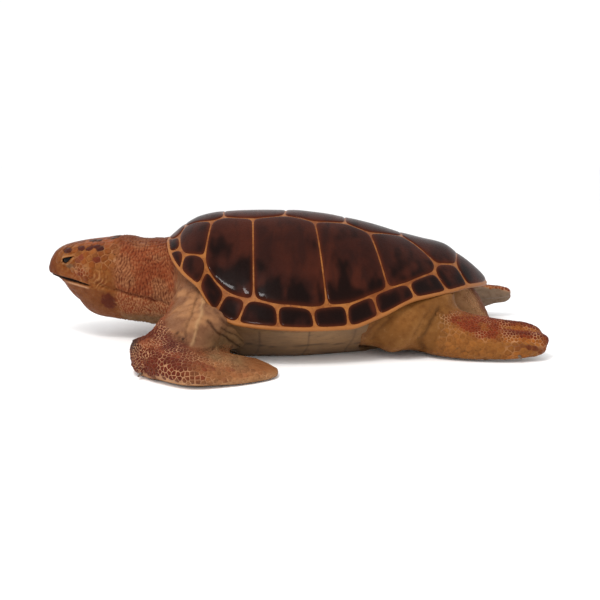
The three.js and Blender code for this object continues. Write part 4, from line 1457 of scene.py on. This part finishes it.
def crease_coats(points, noise):
    """Undersides, the web of skin behind the arm, and folds, with painted shade in their creases
    and a painted highlight on a raised fold.
    """
    x, _, z = points.T
    web = fade(x, -250, -190) * (1 - fade(x, -90, 120)) * (1 - flipper_region(points, noise))
    folds = side_folds(points, 3)
    return [
        (GREY_TAN, (1 - fade(z, 2, 14)) * 0.35 * (1 - neck_region(x, noise))),
        (rgb(147, 124, 93), web * (1 - fade(z, 60, 130)) * 0.8),
        # Painted shade darkens the fold creases; a painted highlight lightens the raised fold.
        (rgb(56, 34, 26), folds * 1.15),
        (rgb(208, 176, 140), -folds),
    ]


def paint(points):
    """Linear colour of the skin at each point: ground colours by region, then markings."""
    noise = Noise(
        warp=wobble(points, 30, 61, 30, 3),
        fine=fractal(points, 9, 71, 3),
        patch=fractal(points, 44, 63, 3),
        streak=fractal(points, (40, 12, 12), 79, 3),
    )
    colour = np.tile(SHOULDER, (len(points), 1))
    colour = blend(colour, CREAM, fade(noise.patch, 0.52, 0.72) * 0.5)
    colour = blend(colour, rgb(140, 92, 62), fade(noise.patch, 0.46, 0.3) * 0.6)
    for coats in (neck_coats, head_coats, front_coats, rear_coats, crease_coats):
        for tone, amount in coats(points, noise):
            colour = blend(colour, tone, amount)
    clouds = 0.84 + 0.32 * fractal(points, 60, 81, 2)
    return np.clip(colour * clouds[:, None], 0, 1) * PAINT_TONE


def sole_share(normals, points):
    """How much a hind flipper's skin faces inward and down, where it is a bare grey sole."""
    x, y, _ = points.T
    inward = -normals[:, 1] * np.sign(y)
    faces_in = fade(inward * 0.8 - normals[:, 2] * 0.6, 0.25, 0.6)
    return faces_in * fade(x, 410, 450) * fade(np.abs(y), 110, 150)


def cheek_share(points):
    """The flaky part of the cheek behind and below the eye."""
    x, y, z = points.T
    reach = ((x + 618) / 32) ** 2 + ((z - 205) / 20) ** 2
    return np.exp(-(reach**2)) * (np.abs(y) > FACE_SIDE)


def pale_gaps(points):
    """How cream the skin is between the scales."""
    x = points[:, 0]
    head = 1 - fade(x, -540, -500)
    blade = fade(x, -290, -200) * (1 - fade(x, 0, 100))
    low_hind = fade(x, 250, 350) * (1 - fade(chord_place(points), -36, -22))
    lumps = fractal(points, 34, 97, 2)
    amount = 0.4 - 0.3 * head - 0.18 * blade - 0.28 * low_hind
    return amount * (0.2 + 1.0 * fade(lumps, 0.42, 0.64)) + 0.16 * cheek_share(points)


def build_skin(parts, shell):
    """One skin over all the flesh: remeshed, smoothed at the joins, sculpted and painted."""
    mesh = remeshed(parts, SKIN_VOXEL)
    points, edges = points_of(mesh), edges_of(mesh)
    weight = junction_weight(points, parts, JUNCTION_REACH) * 0.9
    points = relaxed(points, edges, weight, JUNCTION_PASSES)
    points = relaxed(points, edges, np.full(len(points), 0.5), 3)
    points[:, 2] = np.maximum(points[:, 2], 0)
    points = under_shell(points, shell)
    set_points(mesh, points)
    for chosen in (on_head_or_neck, at_web, at_eye_or_mouth):
        subdivide_where(mesh, chosen)
    points, edges = points_of(mesh), edges_of(mesh)
    points = relaxed(points, edges, np.full(len(points), 0.4), 2)
    set_points(mesh, points)
    set_points(mesh, under_shell(inside_bridge(sculpt(points, normals_of(mesh))), shell))
    points, normals = points_of(mesh), normals_of(mesh)
    scaled = on_front_scales(points) | on_hind_scales(points) | on_head_scales(points)
    colour = blend(paint(points), CREAM, scaled * pale_gaps(points))
    colour = blend(colour, SOLE, sole_share(normals, points))
    flesh = ["head", "jaw", "neck", "trunk", "tail"]
    flesh += [f"{limb}_flipper_{side}" for side in SIDES for limb in ("front", "hind")]
    finish_object("skin", mesh, MATERIALS["skin"], flesh, {"paint": colour})
    return mesh


# ---- scales

SITE_CANDIDATES = 10  # random points tried for each scale
SITE_SPREAD = 0.84  # least distance between roots, as a share of the spacing
NEIGHBOURS = 13  # roots looked at when a scale's outline is cut, itself included
SCALE_REACH = 0.8  # greatest radius of a scale, as a share of the spacing
SCALE_TOP = 0.8  # width of a scale's flat top, as a share of its foot
PATCH_REACH = 0.0015  # radius of a scale's patch in the unwrap
OCTAGON = [(math.cos(a), math.sin(a)) for a in np.linspace(0, 2 * math.pi, 9)[:-1].tolist()]


def scatter(mesh, spacing_of, allowed):
    """Random points over the allowed skin, several to a scale, and the normals there."""
    points, normals = points_of(mesh), normals_of(mesh)
    corners = np.array([[*p.vertices, p.vertices[0]][:4] for p in mesh.polygons])
    centres = points[corners].mean(1)
    face_normals = normals[corners].mean(1)
    corners = corners[allowed(centres, face_normals)]
    a, b, c, d = (points[corners[:, k]] for k in range(4))
    area = np.linalg.norm(np.cross(c - a, d - b), axis=1) / 2
    wanted = SITE_CANDIDATES * area / spacing_of((a + c) / 2) ** 2
    copies = np.floor(wanted + rng.random(len(wanted))).astype(int)
    face = np.repeat(np.arange(len(corners)), copies)
    u, v = rng.random((2, len(face), 1))
    shares = [(1 - u) * (1 - v), u * (1 - v), u * v, (1 - u) * v]
    spots = sum(share * points[corners[face, k]] for k, share in enumerate(shares))
    lean = sum(share * normals[corners[face, k]] for k, share in enumerate(shares))
    return spots, lean / np.linalg.norm(lean, axis=1, keepdims=True)


def scale_sites(mesh, spacing_of, allowed):
    """Points spread evenly over the allowed skin, spacing_of giving their distance apart."""
    points, normals = scatter(mesh, spacing_of, allowed)
    spacing = spacing_of(points)
    cell = spacing.max()
    taken = {}
    sites = []
    for i in rng.permutation(len(points)).tolist():
        p = points[i]
        key = tuple((p // cell).astype(int).tolist())
        around = [
            j
            for dx in (-1, 0, 1) for dy in (-1, 0, 1) for dz in (-1, 0, 1)
            for j in taken.get((key[0] + dx, key[1] + dy, key[2] + dz), ())
        ]
        least = (spacing[i] * SITE_SPREAD) ** 2
        if around and np.min(np.sum((points[around] - p) ** 2, axis=1)) < least:
            continue
        taken.setdefault(key, []).append(i)
        sites.append(i)
    return points[sites], normals[sites], spacing[sites]


def clip(polygon, direction, limit):
    """The part of a flat polygon where direction . p <= limit."""
    out = []
    for p, q in zip(polygon, polygon[1:] + polygon[:1]):
        dp = direction[0] * p[0] + direction[1] * p[1] - limit
        dq = direction[0] * q[0] + direction[1] * q[1] - limit
        if dp <= 0:
            out.append(p)
        if (dp < 0 < dq) or (dq < 0 < dp):
            t = dp / (dp - dq)
            out.append((p[0] + (q[0] - p[0]) * t, p[1] + (q[1] - p[1]) * t))
    return out


def scale_gap(p):
    """Width of the skin between neighbouring scales, wider on the flaky cheek."""
    return 0.8 + 0.9 * cheek_share(p)


def scale_outline(i, sites, tree, first, second, radius, gap):
    """The flat polygon of a scale: an octagon cut half-way to each neighbour."""
    polygon = [(radius * c, radius * s) for c, s in OCTAGON]
    for _, j, _ in tree.find_n(sites[i].tolist(), NEIGHBOURS):
        if j == i:
            continue
        v = Vector(sites[j] - sites[i])
        u = (v.dot(first), v.dot(second))
        length = math.hypot(*u)
        if length > 1e-6:
            reach = v.length_squared / (2 * length) - gap / 2
            polygon = clip(polygon, (u[0] / length, u[1] / length), reach)
    return polygon


def build_scales(name, mesh, spacing_of, allowed, unwrap, height):
    """Solid horny scales that tile the allowed skin, each a low crowned polygon."""
    sites, normals, spacing = scale_sites(mesh, spacing_of, allowed)
    tree = kdtree.KDTree(len(sites))
    for i, p in enumerate(sites.tolist()):
        tree.insert(p, i)
    tree.balance()
    bvh = BVHTree.FromPolygons(points_of(mesh).tolist(), [list(p.vertices) for p in mesh.polygons])
    points, faces, crown, roots, patches = [], [], [], [], []
    colours = paint(sites) * (0.86 + 0.28 * rng.random(len(sites)))[:, None]
    gaps = scale_gap(sites)
    for i, site in enumerate(sites):
        normal = Vector(normals[i])
        first = normal.orthogonal().normalized()
        second = normal.cross(first)
        radius = spacing[i] * SCALE_REACH
        polygon = scale_outline(i, sites, tree, first, second, radius, gaps[i])
        if len(polygon) < 3:
            continue
        n = len(polygon)
        start = len(points)
        for share, rise, crowned in ((1.0, -0.5, 0.0), (SCALE_TOP, height, 0.6)):
            for a, b in polygon:
                at = Vector(site) + first * (a * share) + second * (b * share)
                points.append(bvh.find_nearest(at)[0] + normal * rise)
                crown.append(crowned)
        points.append(Vector(site) + normal * (height * 1.2))
        crown.append(1.0)
        faces += band(start, start + n, n) + fan(start + n, start + 2 * n, n)
        faces.append(tuple(start + k for k in reversed(range(n))))
        roots += [i] * (2 * n + 1)
        flat = [(a / radius, b / radius) for a, b in polygon]
        patches += flat + [(a * SCALE_TOP, b * SCALE_TOP) for a, b in flat] + [(0, 0)]
    points = [tuple(p) for p in points]
    attributes = {"paint": colours[roots], "crown": crown}
    piece = make_object(name, points, faces, MATERIALS["scale"], (), attributes)
    uv = unwrap(sites)[roots] + np.array(patches) * PATCH_REACH
    layer = piece.data.uv_layers.new(name="OFBake")
    loops = np.empty(len(piece.data.loops), int)
    piece.data.loops.foreach_get("vertex_index", loops)
    layer.data.foreach_set("uv", uv[loops].astype(np.float32).ravel())


def limb_unwrap(axis_from, axis_to, centre_y, centre_z, sign):
    """Length along the body, and angle about a line along it, as a map from 0 to 1 each way."""

    def uv(points):
        u = (points[:, 0] - axis_from) / (axis_to - axis_from)
        angle = np.arctan2(points[:, 2] - centre_z, points[:, 1] * sign - centre_y)
        v = angle / (2 * math.pi) + 0.5
        return np.column_stack([0.02 + 0.96 * np.clip(u, 0, 1), 0.02 + 0.96 * v])

    return uv


def head_spacing(p):
    return 16 + 3 * fade(p[:, 2], 262, 285) - 7.5 * cheek_share(p)


def front_spacing(p):
    return 6.6 + 3.5 * fade(np.abs(p[:, 1]), 450, 510) + 3.5 * fade(p[:, 0], -230, -120)


def hind_spacing(p):
    return 7.0 + 7.0 * (1 - fade(chord_place(p), -40, -20)) + 1.5 * fade(p[:, 0], 540, 640)


def tail_spacing(p):
    return np.full(len(p), 6.0)


def on_tail(p, n):
    return (np.abs(p[:, 1]) < 60) & (p[:, 0] > 478) & (n[:, 2] + n[:, 0] > -0.2) & (p[:, 2] > 2)


def all_scales(skin):
    build_scales(
        "scales_head", skin, head_spacing, lambda p, n: on_head_scales(p),
        limb_unwrap(-740, -500, 0, 190, 1), 0.8,
    )
    for side, sign in SIDES.items():

        def on_front(p, n, sign=sign):
            return on_front_scales(p) & (p[:, 1] * sign > 0) & (n[:, 2] > -0.35)

        def on_hind(p, n, sign=sign):
            outer = n[:, 1] * sign * 0.8 + n[:, 2] * 0.6 > -0.15
            return on_hind_scales(p) & (p[:, 1] * sign > 0) & outer

        build_scales(
            f"scales_front_flipper_{side}", skin, front_spacing, on_front,
            limb_unwrap(-420, -40, 420, 25, sign), 0.7,
        )
        build_scales(
            f"scales_hind_flipper_{side}", skin, hind_spacing, on_hind,
            limb_unwrap(380, 700, 258, 52, sign), 0.7,
        )
    build_scales(
        "scales_tail", skin, tail_spacing, on_tail,
        limb_unwrap(390, 600, 0, 60, 1), 0.6,
    )


# ---- eyes and claws


def eyes():
    """Eyeballs as rings about the y axis, bulging a little outwards at the cornea."""
    around = 2 * math.pi * np.arange(36) / 36
    rings = []
    for angle in [math.pi * k / 24 for k in range(1, 24)]:
        bulge = 1 + 0.05 * math.exp(-(((math.pi - angle) / 0.5) ** 2))
        r = (EYE_RADIUS - 0.4) * bulge
        wide = r * math.sin(angle)
        centre_line = np.full(36, -r * math.cos(angle))
        ring = [wide * np.cos(around), centre_line, wide * np.sin(around)]
        rings.append(EYE + np.column_stack(ring))
    for side, sign in SIDES.items():
        points, faces = mirrored(ring_solid(rings), sign)
        make_object(f"eyeball_{side}", points, faces, MATERIALS["eye"], [f"eye_{side}"])


NAIL_SHOWN = {"front": 1.0, "hind": 0.62}  # share of the claw's length that clears the skin


def claws():
    for side, sign in SIDES.items():
        for limb, (base, tip, radius) in CLAWS.items():
            root, tip = (np.array(p, float) + hind_shift(p[0], side, limb) for p in (base, tip))
            tip = root + (tip - root) * NAIL_SHOWN[limb]
            inner = root + (root - tip) * 0.35
            middle = root * 0.45 + tip * 0.55 + [0, 0, 2.5]
            rows = [
                (*inner, radius * 0.9, radius * 0.8, 0),
                (*root, radius, radius * 0.85, 0),
                (*middle, radius * 0.85, radius * 0.74, 0),
                (*tip, radius * 0.3, radius * 0.26, 0),
            ]
            points, faces = mirrored(path_loft(refine(rows, 6), 24), sign)
            name, node = f"{limb}_nail_{side}", f"{limb}_claw_{side}"
            make_object(name, points, faces, MATERIALS["claw"], [node])


# ---- stage

CAMERA_DISTANCE = 2.2
CAMERA_HEIGHT = 0.53
CAMERA_PITCH = 10.9
FOCAL_SHARE = 759 / 600  # focal length over the width of the picture
SENSOR = 36
FLOOR_HALF = 30
WORLD_STRENGTH = 1.05
# name, place, target, size, power, colour, whether it shows in reflections
LAMPS = [
    ("key", (-0.6, -1.4, 2.6), (-0.1, -0.1, 0.15), 1.5, 36, (1.0, 0.97, 0.93), False),
    ("sparkle", (-0.6, -1.34, 2.4), (-0.2, -0.2, 0.15), 0.26, 14, (1, 1, 1), True),
    ("fill", (-2.2, -2.0, 1.6), (-0.3, 0, 0.15), 1.2, 9, (1, 1, 1), False),
]


def camera():
    data = bpy.data.cameras.new("camera")
    data.sensor_width = SENSOR
    data.lens = SENSOR * FOCAL_SHARE
    eye = bpy.data.objects.new("camera", data)
    eye.location = (ORIGIN_SHIFT, -CAMERA_DISTANCE, CAMERA_HEIGHT)
    eye.rotation_euler = (math.radians(90 - CAMERA_PITCH), 0, 0)
    bpy.context.scene.collection.objects.link(eye)
    bpy.context.scene.camera = eye


def area_light(name, location, target, size, power, tone, shines):
    data = bpy.data.lights.new(name, "AREA")
    data.energy = power
    data.size = size
    data.color = tone
    lamp = bpy.data.objects.new(name, data)
    lamp.location = location
    lamp.visible_glossy = shines
    lamp.rotation_euler = (Vector(target) - Vector(location)).to_track_quat("-Z", "Y").to_euler()
    bpy.context.scene.collection.objects.link(lamp)


def stage():
    material, tree, bsdf = new_material("studio_floor", Roughness=0.9)
    tone = mix_colour(tree, object_noise(tree, 3, 2), (0.96, 0.96, 0.96), (0.98, 0.98, 0.98))
    drive(bsdf, Base_Color=tone)
    mesh = bpy.data.meshes.new("studio_floor")
    h = FLOOR_HALF
    mesh.from_pydata([(-h, -h, 0), (h, -h, 0), (h, h, 0), (-h, h, 0)], [], [(0, 1, 2, 3)])
    mesh.materials.append(material)
    floor = bpy.data.objects.new("studio_floor", mesh)
    bpy.context.scene.collection.objects.link(floor)
    world = bpy.data.worlds.new("studio")
    world.use_nodes = True
    background = world.node_tree.nodes["Background"]
    background.inputs["Color"].default_value = (0.99, 0.995, 1.0, 1.0)
    background.inputs["Strength"].default_value = WORLD_STRENGTH
    bpy.context.scene.world = world
    for lamp in LAMPS:
        area_light(*lamp)
    bpy.context.scene.view_settings.view_transform = "Standard"


camera()
stage()
for plate_name, plate_loop in OUTLINES.items():
    horn_plate(plate_name, plate_loop)
shell_tree = carapace()
plastron()
skin_mesh = build_skin(flesh_parts(), shell_tree)
all_scales(skin_mesh)
eyes()
claws()
